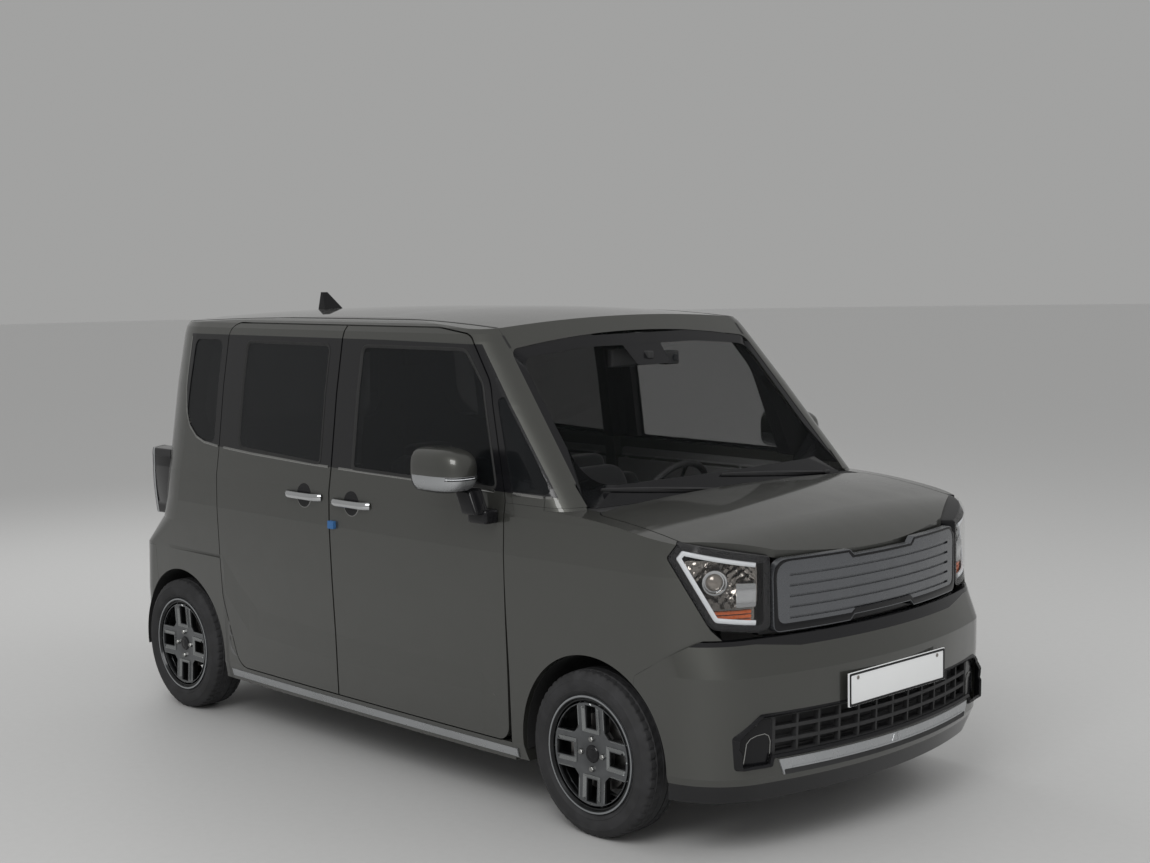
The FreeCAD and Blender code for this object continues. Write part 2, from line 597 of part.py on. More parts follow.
def knuckle():
    """Left front upright on the kingpin line: spindle, hub flange, disc and caliper."""
    wheel_y = TRACK / 2
    hub = tube_y(FRONT_AXLE, TYRE_RADIUS, HUB_RADIUS, wheel_y + 24.0, wheel_y + HUB_FACE)
    spindle = tube_y(FRONT_AXLE, TYRE_RADIUS, 34.0, KINGPIN_Y - 20.0, wheel_y + 26.0)
    disc = tube_y(FRONT_AXLE, TYRE_RADIUS, DISC_RADIUS, wheel_y + 2.0, wheel_y + 2.0 + DISC_WIDTH)
    upright = box(FRONT_AXLE - 32.0, FRONT_AXLE + 32.0, KINGPIN_Y - 18.0, KINGPIN_Y + 26.0,
                  TYRE_RADIUS - KNUCKLE_REACH, TYRE_RADIUS + KNUCKLE_REACH)
    caliper = box(FRONT_AXLE - 132.0, FRONT_AXLE - 60.0, wheel_y - 30.0, wheel_y + 30.0, TYRE_RADIUS - 50.0,
                  TYRE_RADIUS + 50.0)
    return fuse([upright, spindle, hub, disc, caliper])


def front_suspension():
    """Rails, cross members, lower arms and struts; it carries the two front uprights and the engine."""
    foot, arm_top = TYRE_RADIUS - KNUCKLE_REACH - 26.0, TYRE_RADIUS - KNUCKLE_REACH - SEAT_GAP
    rail = box(FIREWALL_X + FIREWALL_WALL + SEAT_GAP, 1575.0, RAIL_Y[0], RAIL_Y[1], 380.0, ENGINE_FOOT)
    bearer = box(FRONT_AXLE - 80.0, FRONT_AXLE - 20.0, -RAIL_Y[0], RAIL_Y[0], ENGINE_FOOT - 45.0, ENGINE_FOOT)
    cross = box(FRONT_AXLE - 150.0, FRONT_AXLE + 60.0, -RAIL_Y[1], RAIL_Y[1], foot, foot + 45.0)
    leg = box(FRONT_AXLE - 150.0, FRONT_AXLE - 90.0, RAIL_Y[0], RAIL_Y[1], foot, 400.0)
    arm = box(FRONT_AXLE - 30.0, FRONT_AXLE + 30.0, 400.0, KINGPIN_Y, foot, arm_top)
    ball = Part.makeCylinder(28.0, arm_top - foot, Vector(FRONT_AXLE, KINGPIN_Y, foot))
    strut = Part.makeCylinder(STRUT_RADIUS, 470.0, Vector(FRONT_AXLE, STRUT_Y, 400.0))
    carrier = box(FRONT_AXLE - 26.0, FRONT_AXLE + 26.0, 400.0, 580.0, 400.0, 445.0)
    left = [rail, leg, arm, ball, strut, carrier]
    return fuse([cross, bearer] + left + [mirrored(piece) for piece in left])


def rear_axle():
    """Twist beam, trailing arms, springs and hub flanges."""
    arm_y = (LINER_INNER - 75.0, LINER_INNER - 20.0)
    arm_end = REAR_STEP_X - FLOOR_WALL - SEAT_GAP
    beam = tube_y(REAR_AXLE + 60.0, TYRE_RADIUS, 34.0, -arm_y[1], arm_y[1])
    arm = box(REAR_AXLE - 40.0, arm_end, arm_y[0], arm_y[1], TYRE_RADIUS - 40.0, TYRE_RADIUS + 30.0)
    spring = Part.makeCylinder(45.0, REAR_FLOOR_Z - SEAT_GAP - TYRE_RADIUS - 20.0,
                               Vector(REAR_AXLE + 60.0, sum(arm_y) / 2, TYRE_RADIUS + 20.0))
    hub = tube_y(REAR_AXLE, TYRE_RADIUS, HUB_RADIUS, TRACK / 2 + 20.0, TRACK / 2 + HUB_FACE)
    stub = tube_y(REAR_AXLE, TYRE_RADIUS, 32.0, arm_y[0], TRACK / 2 + 24.0)
    drum = tube_y(REAR_AXLE, TYRE_RADIUS, 105.0, 640.0, TRACK / 2 + 20.0)
    left = [arm, spring, stub, drum, hub]
    return fuse([beam] + left + [mirrored(piece) for piece in left])


def seat(x, y, width, back_top):
    """Cushion, back and head restraint as one soft solid on its base."""
    profile = [(x, 300.0, 20.0), (x + 420.0, 300.0, 20.0), (x + 440.0, 560.0, 50.0), (x + 90.0, 530.0, 60.0),
               (x - 40.0, back_top, 42.0), (x - 130.0, back_top, 42.0), (x - 30.0, 470.0, 60.0)]
    base = box(x + 40.0, x + 400.0, y - width / 2 + 60.0, y + width / 2 - 60.0, FLOOR_Z + FLOOR_WALL + SEAT_GAP, 310.0)
    return fuse([side_prism(profile, y - width / 2, y + width / 2), base])


def door_handle(x, z, form):
    """Grip bar held off the door skin by a foot at each end."""
    half_length, half_height = HANDLE_LENGTH / 2, HANDLE_HEIGHT / 2
    hollow = box(x - half_length + HANDLE_FOOT, x + half_length - HANDLE_FOOT, 0.0, 1000.0, z - 50.0, z + 50.0)
    outline = [(x + a * half_length, z + b * half_height, half_height - 2.0)
               for a, b in ((-1, -1), (1, -1), (1, 1), (-1, 1))]
    grip = form["handle_layer"].common(side_prism(outline, 600.0, 1000.0))
    return grip.cut(form["handle_hollow"].common(hollow))


def door_mirror(skin):
    """Left mirror: foot on the door skin, arm and head."""
    head = top_prism([(492.0, 832.0, 20.0), (640.0, 832.0, 30.0), (716.0, 862.0, 30.0), (640.0, 985.0, 70.0),
                      (492.0, 985.0, 30.0)], 1107.0, 1265.0)
    head = head.common(front_prism([(832.0, 1107.0, 20.0), (832.0, 1265.0, 60.0), (985.0, 1265.0, 68.0),
                                    (985.0, 1107.0, 60.0)], 400.0, 800.0))
    foot = box(622.0, 728.0, 770.0, 850.0, 1000.0, 1060.0).cut(skin)
    arm = side_prism([(634.0, 1040.0, 0.0), (720.0, 1040.0, 0.0), (690.0, 1120.0, 0.0), (590.0, 1120.0, 0.0)],
                     815.0, 885.0)
    return fuse([head, foot, arm])


def antenna_fin(roof):
    """Swept fin that stands on the roof."""
    def ring(x0, x1, half, z):
        knee = x0 + 2 * half
        points = [(x0, -half, 0.0), (knee, -half, 0.0), (x1, 0.0, 0.0), (knee, half, 0.0), (x0, half, 0.0)]
        return rounded(points, lambda x, y: Vector(x, y, z))
    fin = Part.makeLoft([ring(-1372.0, -1185.0, 30.0, 1640.0), ring(-1368.0, -1215.0, 24.0, 1690.0),
                         ring(-1370.0, -1330.0, 7.0, 1763.0)], True, True)
    return fin.cut(roof)


def steering_wheel():
    """Rim, three spokes and boss about the column line."""
    section = [(197.0, -6.0, 0.0), (197.0, 6.0, 0.0), (188.0, 15.0, 0.0), (176.0, 15.0, 0.0), (167.0, 6.0, 0.0),
               (167.0, -6.0, 0.0), (176.0, -15.0, 0.0), (188.0, -15.0, 0.0)]
    face = Part.Face(rounded(section, lambda r, z: Vector(r, 0.0, z)))
    ring = face.revolve(Vector(0.0, 0.0, 0.0), Vector(0.0, 0.0, 1.0), 360.0)
    boss = Part.makeCylinder(62.0, 46.0, Vector(0.0, 0.0, -26.0))
    spokes = [box(40.0, 176.0, -17.0, 17.0, -14.0, 2.0) for _ in range(3)]
    for i, spoke in enumerate(spokes):
        spoke.rotate(Vector(0.0, 0.0, 0.0), Vector(0.0, 0.0, 1.0), 90.0 * (i + 1))
    return set_on_column(fuse([ring, boss] + spokes))


def set_on_column(shape):
    """From the column's own line, up towards the driver, to its place in the cabin."""
    shape.rotate(Vector(0.0, 0.0, 0.0), Vector(0.0, 1.0, 0.0), -COLUMN_RAKE)
    shape.translate(Vector(*STEERING_CENTRE))
    return shape


def tail_lamp_form(inset):
    """Plan form that the tail lamps stand out to."""
    return Part.makeLoft([plan_outline(z, w, 1743.0, 300.0, TAIL_LAMP_END, TAIL_LAMP_CORNER, NOSE_RADIUS, inset)
                          for z, w in ((TAIL_LAMP_ROWS[0][0] - 10.0, TAIL_LAMP_ROWS[0][1]),
                                       (TAIL_LAMP_ROWS[1][0] + 10.0, TAIL_LAMP_ROWS[1][1]))], True, True)


def wipers():
    """Two arms lying on the foot of the screen, their pivots on the cowl."""
    layer = upper_loft(GLASS_SET - WIPER_HEIGHT, SCREEN_ROWS).cut(upper_loft(GLASS_SET - SEAT_GAP, SCREEN_ROWS))
    arms = []
    for inner, outer in ((-35.0, 560.0), (-600.0, -60.0)):
        blade = [(inner, 1128.0, 0.0), (inner, 1116.0, 0.0), (outer - 30.0, 1070.0, 0.0), (outer, 1070.0, 0.0),
                 (outer, 1084.0, 0.0)]
        arms.append(layer.common(front_prism(blade, 900.0, 1300.0)))
    return arms


def exhaust():
    """Pipe and silencer hung under the floor."""
    z, y = FLOOR_Z - 45.0, -200.0
    pipe = Part.makeCylinder(22.0, 2190.0, Vector(-1390.0, y, z), Vector(1.0, 0.0, 0.0))
    silencer = side_prism([(-1640.0, z - 30.0, 30.0), (-1380.0, z - 30.0, 30.0), (-1380.0, z + 75.0, 30.0),
                           (-1640.0, z + 75.0, 30.0)], y - 170.0, y + 170.0)
    hangers = [box(x, x + 30.0, y - 8.0, y + 8.0, z, FLOOR_Z - SEAT_GAP) for x in (-700.0, 300.0)]
    strap = box(-1500.0, -1460.0, y - 60.0, y + 60.0, z + 60.0, REAR_FLOOR_Z - SEAT_GAP)
    return fuse([pipe, silencer, strap] + hangers)


def floor_pan():
    """Front floor, step over the rear axle, boot floor and the rear panel with the tailgate striker."""
    top = FLOOR_Z + FLOOR_WALL
    profile = [(FIREWALL_X - SEAT_GAP, FLOOR_Z, 0.0), (FIREWALL_X - SEAT_GAP, top, 0.0), (REAR_STEP_X, top, 0.0),
               (REAR_STEP_X, REAR_FLOOR_Z + FLOOR_WALL, 0.0), (REAR_PANEL_X, REAR_FLOOR_Z + FLOOR_WALL, 0.0),
               (REAR_PANEL_X, REAR_FLOOR_Z, 0.0), (REAR_STEP_X - FLOOR_WALL, REAR_FLOOR_Z, 0.0),
               (REAR_STEP_X - FLOOR_WALL, FLOOR_Z, 0.0)]
    pan = lower_loft(WALL_LOW + SEAT_GAP).common(side_prism(profile, -1000.0, 1000.0))
    well = tube_y(REAR_AXLE, TYRE_RADIUS, ARCH_REAR + LINER_WALL + SEAM, LINER_INNER - SEAT_GAP, 1000.0)
    sill = box(REAR_PANEL_X, REAR_PANEL_X + 90.0, -REAR_PANEL_HALF, REAR_PANEL_HALF, REAR_FLOOR_Z,
               REAR_FLOOR_Z + FLOOR_WALL)
    panel = box(REAR_PANEL_X, REAR_PANEL_X + FLOOR_WALL, -REAR_PANEL_HALF, REAR_PANEL_HALF, REAR_FLOOR_Z,
                REAR_BUMPER_TOP)
    striker = box(REAR_PANEL_X, REAR_PANEL_X + FLOOR_WALL, -40.0, 40.0, REAR_BUMPER_TOP,
                  TAILGATE_FOOT + HEM_STEP - SEAT_GAP)
    return fuse([pan.cut([well, mirrored(well)]), sill, panel, striker])


def firewall_cowl():
    """Firewall, the cowl shelf under the screen and the two hood hinge brackets."""
    inner = lower_loft(WALL_LOW + SEAT_GAP)
    wall = box(FIREWALL_X, FIREWALL_X + FIREWALL_WALL, -1000.0, 1000.0, FLOOR_Z, 1035.0)
    front = HOOD_REAR - SHUT_GAP
    shelf = side_prism([(FIREWALL_X, 1005.0, 0.0), (FIREWALL_X, 1035.0, 0.0), (1030.0, COWL_TOP, 0.0),
                        (front - 20.0, COWL_TOP, 0.0), (front, COWL_TOP - 12.0, 0.0), (front, 1005.0, 0.0)],
                       -1000.0, 1000.0)
    brackets = [box(front - 5.0, front + 60.0, y - 20.0, y + 20.0, 1005.0, 1100.0) for y in (-600.0, 600.0)]
    under = hood_crown(HOOD_WALL + SEAT_GAP)
    return fuse([inner.common(wall), inner.common(shelf)] + [bracket.common(under) for bracket in brackets])


def tailgate(form):
    gate = form["skin"].common(front_prism(TAILGATE, -2000.0, ROOF_REAR - SHUT_GAP))
    pan = form["pan"].common(front_prism(grown(TAILGATE, -HEM_STEP), -2000.0, ROOF_REAR - SHUT_GAP))
    return gate.fuse(pan).cut(front_prism(REAR_WINDOW_FRAME, -2000.0, -1400.0))


def lower_grille():
    """Grille set back in the intake, with rows of open cells."""
    mesh = bumper_loft(12.0).cut(bumper_loft(BUMPER_WALL))
    mesh = mesh.common(front_prism(grown(INTAKE, -SEAT_GAP), 1500.0, 2000.0))
    pitch = 2 * INTAKE_CELLS_HALF / INTAKE_CELLS
    cells = []
    for row in range(INTAKE_BARS):
        z = 340.0 + row * 42.0
        for column in range(INTAKE_CELLS):
            y = -INTAKE_CELLS_HALF + column * pitch
            cells.append(box(1500.0, 2000.0, y + 4.0, y + pitch - 4.0, z, z + 30.0))
    return mesh.cut(cells)


def skid_outline(inset):
    return [(SKID_HALF - inset, SKID_LOW + inset, 0.0), (SKID_HALF + 20.0 - inset, SKID_HIGH - inset, 0.0),
            (-SKID_HALF - 20.0 + inset, SKID_HIGH - inset, 0.0), (-SKID_HALF + inset, SKID_LOW + inset, 0.0)]


def both(shape):
    return [shape, mirrored(shape)]


def main():
    os.makedirs("parts", exist_ok=True)
    left_half = box(-2000.0, 2300.0, 0.0, 1000.0, 0.0, 2000.0)
    outer = body_form(0.0, 0.0)
    skin_in = body_form(DOOR_SKIN, DOOR_SKIN)
    door_in = body_form(DOOR_LOW, DOOR_TOP)
    reach = SHUT_GAP - SEAT_GAP
    form = {
        "wall": outer.cut(body_form(WALL_LOW, WALL_TOP)),
        "skin": outer.cut(skin_in),
        "pan": skin_in.cut(door_in),
        "pad": door_in.cut(body_form(DOOR_LOW + reach, DOOR_TOP + reach)),
        "seal": body_form(DOOR_LOW + SHUT_GAP, DOOR_TOP + SHUT_GAP),
        "liner_zone": lower_loft(20.0).common(left_half),
        "cowl_space": lower_loft(WALL_LOW).common(box(700.0, HOOD_REAR, 0.0, 1000.0, 900.0, 1200.0)),
        "handle_layer": lower_loft(-HANDLE_STAND).cut(lower_loft(-SEAT_GAP)),
        "handle_hollow": lower_loft(-HANDLE_HOLLOW),
    }
    lamp_x = (-2000.0, -1500.0)
    form["tail_lamp_seat"] = front_prism(grown(TAIL_LAMP, SEAM), *lamp_x).cut(tail_lamp_form(LAMP_WALL + SEAM))
    lamp_zone = front_prism(TAIL_LAMP, *lamp_x)
    save("tail_lights", both(tail_lamp_form(0.0).cut(tail_lamp_form(LAMP_WALL)).common(lamp_zone)))
    save("body_side_left", body_side(1.0, form))
    save("body_side_right", mirrored(body_side(-1.0, form)))

    front_pads = (FRONT_DOOR_EDGE - SHUT_GAP - HEM_STEP - 2 * PAD_WIDTH, DOOR_SPLIT + SPLIT_GAP + HEM_STEP)
    rear_pads = (DOOR_SPLIT - SHUT_GAP - HEM_STEP - PAD_WIDTH, REAR_DOOR[2][0] + SHUT_GAP + HEM_STEP)
    glass = upper_loft(GLASS_SET).cut(upper_loft(GLASS_SET + GLASS))
    doors = (
        ("front", FRONT_DOOR, FRONT_WINDOW, front_pads, FRONT_HANDLE),
        ("rear", REAR_DOOR, REAR_WINDOW, rear_pads, REAR_HANDLE),
    )
    for name, outline, window, pads, grip in doors:
        pieces = (("door_", door_shell(outline, window, pads, form)), ("door_glass_", door_glass(window, glass)),
                  ("door_handle_", door_handle(grip[0], grip[1], form)))
        for kind, shape in pieces:
            save(kind + name + "_left", shape)
            save(kind + name + "_right", mirrored(shape))
    mirror = door_mirror(lower_loft(-SEAT_GAP))
    save("door_mirror_left", mirror)
    save("door_mirror_right", mirrored(mirror))
    fixed = [door_glass(outline, glass) for outline in (QUARTER_FRONT, QUARTER_REAR)]
    save("fixed_side_glasses", fixed + [mirrored(pane) for pane in fixed])

    screen = upper_loft(GLASS_SET, SCREEN_ROWS).cut(upper_loft(GLASS_SET + GLASS, SCREEN_ROWS))
    save("windscreen", screen.common(front_prism(grown(SCREEN, -SEAT_GAP), 300.0, 1400.0)))
    save("wipers", wipers())
    roof_zone = box(ROOF_REAR, 720.0, -ROOF_HALF, ROOF_HALF, 1400.0, 2000.0)
    roof_in = upper_loft(ROOF_WALL).common(roof_crown(ROOF_WALL))
    save("roof_panel", outer.common(roof_zone).cut([roof_in, front_prism(SCREEN, 300.0, 1400.0)]))
    save("antenna_fin", antenna_fin(roof_crown(-SEAT_GAP)))
    save("tailgate", tailgate(form))
    save("tailgate_glass", glass.common(front_prism(grown(REAR_WINDOW_FRAME, -SEAT_GAP), -2000.0, -1400.0)))

    hood = hood_crown(0.0).cut(hood_crown(HOOD_WALL)).common(top_prism(HOOD_PLAN, 800.0, 1300.0))
    save("hood", hood)
    left_fender = fender(form)
    save("front_fender_left", left_fender)
    save("front_fender_right", mirrored(left_fender))
    front = (1500.0, 2000.0)
    bumper = bumper_loft(0.0).cut(bumper_loft(BUMPER_WALL)).common(side_prism(BUMPER_SIDE, -1000.0, 1000.0))
    liner_space = arch(FRONT_AXLE, ARCH_FRONT + LINER_WALL + SEAM).common(lower_loft(20.0 - SEAM))
    bumper_cuts = both(arch(FRONT_AXLE, ARCH_FRONT)) + both(liner_space)
    bumper_cuts += [front_prism(INTAKE, *front), front_prism(skid_outline(0.0), *front)]
    save("front_bumper", bumper.cut(bumper_cuts))
    skid = bumper_loft(-4.0).cut(bumper_loft(BUMPER_WALL - 8.0))
    save("front_skid_plate", skid.common(front_prism(skid_outline(SEAT_GAP), *front)))
    save("lower_grille", lower_grille())
    panel = lower_loft(PANEL_SET).cut(lower_loft(PANEL_SET + PANEL_WALL))
    lamp_layer = lower_loft(PANEL_SET).cut(lower_loft(LAMP_DEPTH))
    lamp = lamp_layer.common(lamp_prism(HEADLIGHT, 1.0)).common(hood_crown(0.0))
    save("headlights", both(lamp.cut(top_prism(grown(HOOD_PLAN, SHUT_GAP), 500.0, 1300.0))))
    back = PANEL_SET + PANEL_WALL + SEAT_GAP
    carrier = lower_loft(back).cut(lower_loft(back + CARRIER_WALL)).common(
        front_prism([(520.0, 706.0, 0.0), (520.0, 900.0, 0.0), (-520.0, 900.0, 0.0), (-520.0, 706.0, 0.0)], *front))
    holes = [lamp_prism(grown(HEADLIGHT, SEAT_GAP), side) for side in (1.0, -1.0)]
    save("front_carrier", carrier.cut(holes))
    groove_floor = lower_loft(PANEL_SET + LOUVRE_DEPTH)
    for row in range(LOUVRES):
        low = LOUVRE_FOOT + row * LOUVRE_PITCH
        holes.append(box(*front, -LOUVRE_HALF, LOUVRE_HALF, low, low + LOUVRE_HEIGHT).cut(groove_floor))
    save("front_panel", panel.common(front_prism(PANEL, *front)).cut(holes))
    save("front_plate", box(BUMPER_NOSE + SEAT_GAP, FRONT_END, -PLATE_SIZE[0] / 2, PLATE_SIZE[0] / 2,
                            PLATE_Z - PLATE_SIZE[1] / 2, PLATE_Z + PLATE_SIZE[1] / 2))
    rear_zone = side_prism([(REAR_BUMPER_FRONT, 190.0, 0.0), (REAR_BUMPER_FRONT, REAR_BUMPER_TOP, 0.0),
                            (-1900.0, REAR_BUMPER_TOP, 0.0), (-1900.0, 190.0, 0.0)], -1000.0, 1000.0)
    rear_bumper = lower_loft(0.0).cut(lower_loft(BUMPER_WALL)).common(rear_zone)
    liner_space = arch(REAR_AXLE, ARCH_REAR + LINER_WALL + SEAM).common(lower_loft(20.0 - SEAM))
    save("rear_bumper", rear_bumper.cut(both(arch(REAR_AXLE, ARCH_REAR)) + both(liner_space)))

    save("floor_pan", floor_pan())
    save("firewall_cowl", firewall_cowl())
    for axle, axle_name in ((FRONT_AXLE, "front"), (REAR_AXLE, "rear")):
        for side, tag in ((1.0, "left"), (-1.0, "right")):
            for name, shape in (("tyre", tyre()), ("rim", rim(side))):
                shape.translate(Vector(axle, side * TRACK / 2, TYRE_RADIUS))
                save("%s_%s_%s" % (name, axle_name, tag), shape)
    save("front_knuckle_left", knuckle())
    save("front_knuckle_right", mirrored(knuckle()))
    save("front_suspension", front_suspension())
    save("rear_axle", rear_axle())
    save("engine_block", box(880.0, 1260.0, -270.0, 270.0, ENGINE_FOOT + SEAT_GAP, 860.0))
    save("radiator", box(1530.0, 1570.0, SEAT_GAP - RAIL_Y[0], RAIL_Y[0] - SEAT_GAP, 300.0, 700.0))
    save("exhaust", exhaust())
    save("fuel_tank", side_prism([(-900.0, 125.0, 20.0), (-300.0, 125.0, 20.0), (-300.0, FLOOR_Z - SEAT_GAP, 8.0),
                                  (-900.0, FLOOR_Z - SEAT_GAP, 8.0)], -100.0, 480.0))

    save("front_seats", both(seat(20.0, 370.0, 500.0, 1080.0)))
    save("rear_seat", seat(-900.0, 0.0, 1180.0, 1080.0))
    dash = side_prism([(600.0, 620.0, 30.0), (520.0, 820.0, 60.0), (560.0, 1000.0, 60.0),
                       (FIREWALL_X - SEAT_GAP, 1020.0, 0.0), (FIREWALL_X - SEAT_GAP, 620.0, 0.0)], -1000.0, 1000.0)
    column = set_on_column(Part.makeCylinder(24.0, 150.0, Vector(0.0, 0.0, -176.0 - SEAT_GAP)))
    save("dashboard", fuse([lower_loft(WALL_LOW + SEAT_GAP).common(dash), column]))
    save("steering_wheel", steering_wheel())
    glass_back = upper_loft(GLASS_SET + GLASS + SEAT_GAP, SCREEN_ROWS)
    stalk = box(600.0, 720.0, -14.0, 14.0, 1520.0, 1545.0).common(glass_back)
    head = front_prism([(120.0, 1490.0, 22.0), (120.0, 1556.0, 22.0), (-120.0, 1556.0, 22.0), (-120.0, 1490.0, 22.0)],
                       575.0, 606.0)
    save("interior_mirror", fuse([stalk, head]))


main()
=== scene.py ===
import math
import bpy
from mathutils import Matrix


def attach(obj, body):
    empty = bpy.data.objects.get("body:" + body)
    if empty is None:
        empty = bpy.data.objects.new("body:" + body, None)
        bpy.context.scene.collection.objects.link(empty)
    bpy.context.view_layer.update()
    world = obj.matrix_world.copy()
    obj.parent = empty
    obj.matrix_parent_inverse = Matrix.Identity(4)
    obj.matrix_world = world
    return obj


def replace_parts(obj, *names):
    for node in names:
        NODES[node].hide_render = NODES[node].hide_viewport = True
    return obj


bl_info = {
    "name": "Kei car dressing",
    "version": (1, 0, 0),
    "blender": (4, 5, 0),
    "location": "3D View > Sidebar > Kei Car",
    "description": "Paint, glass, lamps, wheels, trim and cabin of a tall one-box mini car",
    "category": "Object",
}

import bmesh
import bpy
from bpy.props import FloatProperty, FloatVectorProperty, IntProperty, PointerProperty
from mathutils import Matrix, Vector
from mathutils.bvhtree import BVHTree

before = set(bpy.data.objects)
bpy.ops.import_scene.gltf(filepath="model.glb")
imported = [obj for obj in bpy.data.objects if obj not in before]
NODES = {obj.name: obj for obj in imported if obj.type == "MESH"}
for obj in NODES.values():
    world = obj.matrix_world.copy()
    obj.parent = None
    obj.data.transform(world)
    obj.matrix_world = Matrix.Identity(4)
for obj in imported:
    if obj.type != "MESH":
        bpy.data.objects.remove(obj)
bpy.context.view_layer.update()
SIDES = (("left", 1.0), ("right", -1.0))
FRONT_AXLE = 1.1325
REAR_AXLE = -1.3875
ENDS = (("front", FRONT_AXLE), ("rear", REAR_AXLE))
WHEEL_Y = 0.7
WHEEL_Z = 0.277
RIM_FACE_Y = 0.768
# Wheel face, distances from its middle: where the dark band starts and where the bright lip does
BAND_RADIUS, LIP_RADIUS = 0.174, 0.1885
ALONG_X = Vector((1.0, 0.0, 0.0))
ALONG_Y = Vector((0.0, 1.0, 0.0))
ALONG_Z = Vector((0.0, 0.0, 1.0))
# Headlights: turn of their face from straight ahead, and the nose corner (x, y) where their outline starts
LAMP_TURN = math.radians(48.7)
LAMP_CORNER = (1.677, 0.5)
# Where a ray misses the surface, the depth is that of the surface nearest to this distance along it
MISS_REACH = 1.2
# Tread grooves, as distances from the tyre's middle
GROOVES = ((0.0126, 0.0178), (0.0406, 0.0458))

# Belt line under the side windows (x, z), front to rear and up round the rear quarter glass
BELT = ((0.962, 1.106), (0.75, 1.107), (0.40, 1.113), (0.0, 1.118), (-0.40, 1.125), (-0.80, 1.137),
        (-1.06, 1.150), (-1.17, 1.160), (-1.24, 1.180), (-1.30, 1.222), (-1.335, 1.285), (-1.349, 1.37),
        (-1.350, 1.48), (-1.346, 1.595))
# Lower edge of the gloss black round the side windows (x, z)
PILLAR_BLACK = ((0.97, 1.106), (0.0, 1.118), (-0.40, 1.125), (-0.80, 1.137), (-1.06, 1.150), (-1.17, 1.160),
                (-1.24, 1.180), (-1.30, 1.222), (-1.335, 1.285), (-1.349, 1.40), (-1.352, 1.70))
# Upper and lower edge of the pressing low in the doors (x, z)
PRESSING_TOP = ((0.665, 0.400), (0.600, 0.472), (-0.27, 0.484), (-0.79, 0.506), (-0.93, 0.604),
                (-1.05, 0.720))
PRESSING_FOOT = ((0.665, 0.398), (-0.27, 0.380), (-0.86, 0.398), (-1.05, 0.560))
# Front edge of the black: x plus the slope times z stays under the line
PILLAR_SLOPE, PILLAR_LINE = 0.885, 1.957
# Below this height the bumper is black: painted shade under the skid plate
BUMPER_SHADE_TOP = 0.246
# Window openings (x, z, corner radius), as the doors carry them
WINDOWS = {
    "door_front": ((-0.118, 1.123, 0.022), (-0.118, 1.584, 0.035), (0.478, 1.584, 0.070),
                   (0.590, 1.465, 0.090), (0.702, 1.114, 0.022)),
    "door_rear": ((-0.322, 1.127, 0.022), (-0.322, 1.584, 0.035), (-0.907, 1.584, 0.035),
                  (-0.907, 1.152, 0.045)),
}
# Headlight seen square on (outwards from the nose corner, z, corner radius)
HEADLIGHT = ((0.0, 0.955, 0.012), (0.0, 0.712, 0.040), (0.196, 0.737, 0.045), (0.326, 0.962, 0.014),
             (0.290, 1.012, 0.010))
# Front-view outlines (y, z, corner radius): left half, the other half mirrors it
PANEL = ((0.152, 0.730, 0.004), (0.172, 0.712, 0.004), (0.486, 0.712, 0.024), (0.490, 0.944, 0.060),
         (0.172, 0.944, 0.004), (0.152, 0.926, 0.004))
PANEL_FACE = ((0.145, 0.752, 0.004), (0.165, 0.737, 0.004), (0.468, 0.737, 0.030), (0.476, 0.934, 0.055),
              (0.178, 0.934, 0.004), (0.160, 0.915, 0.004))
SCREEN = ((0.6765, 1.0665, 0.030), (0.6145, 1.5785, 0.040), (0.30, 1.6125, 0.8))
SCREEN_CLEAR = ((0.632, 1.128, 0.110), (0.590, 1.548, 0.060), (0.30, 1.573, 0.8))
INTAKE = ((0.528, 0.326, 0.004), (0.534, 0.300, 0.004), (0.648, 0.300, 0.012), (0.656, 0.404, 0.016),
          (0.575, 0.470, 0.024))
REAR_WINDOW = ((0.520, 1.150, 0.060), (0.500, 1.560, 0.060))
# Left tail lamp seen from the rear (y, z, corner radius)
TAIL_LAMP = ((0.612, 0.808, 0.010), (0.684, 0.808, 0.014), (0.742, 1.030, 0.020), (0.742, 1.074, 0.014),
             (0.712, 1.102, 0.014), (0.612, 1.102, 0.010))


class PaintSettings(bpy.types.PropertyGroup):
    """Colours and finish of the painted panels."""
    colour: FloatVectorProperty(name="Paint", description="Olive grey metallic", subtype="COLOR", size=3,
                                default=(0.072, 0.073, 0.066), min=0.0, max=1.0)
    roughness: FloatProperty(name="Flake roughness", description="Roughness under the clear coat",
                             default=0.42, min=0.0, max=1.0, subtype="FACTOR")
    metallic: FloatProperty(name="Metallic", description="Share of metal flake in the colour",
                            default=0.72, min=0.0, max=1.0, subtype="FACTOR")


class WheelSettings(bpy.types.PropertyGroup):
    """Sizes of the tyres."""
    tyre_radius: FloatProperty(name="Tyre radius", description="Outer radius of the tread", default=0.277,
                               min=0.2, max=0.4, unit="LENGTH")
    groove_depth: FloatProperty(name="Groove depth", description="Depth of the tread grooves", default=0.0055,
                                min=0.0, max=0.012, unit="LENGTH")
    segments: IntProperty(name="Segments", description="Steps round the tread", default=216, min=72, max=360)


class StageSettings(bpy.types.PropertyGroup):
    """Camera lens, floor and lamps."""
    lens: FloatProperty(name="Lens", description="Focal length of the view", default=55.30, min=20.0,
                        max=200.0, subtype="DISTANCE_CAMERA")
    floor: FloatVectorProperty(name="Floor", description="Colour of the floor", subtype="COLOR", size=3,
                               default=(0.46, 0.46, 0.455), min=0.0, max=1.0)
    backdrop: FloatVectorProperty(name="Backdrop", description="Colour seen behind the car", subtype="COLOR",
                                  size=3, default=(0.36, 0.36, 0.356), min=0.0, max=1.0)
    ambient: FloatProperty(name="Ambient", description="Strength of the sky light", default=0.72, min=0.0,
                           max=2.0)
    key: FloatProperty(name="Key lamp", description="Power of the large soft lamp", default=260.0, min=0.0,
                       max=2000.0, subtype="POWER")


# Node materials

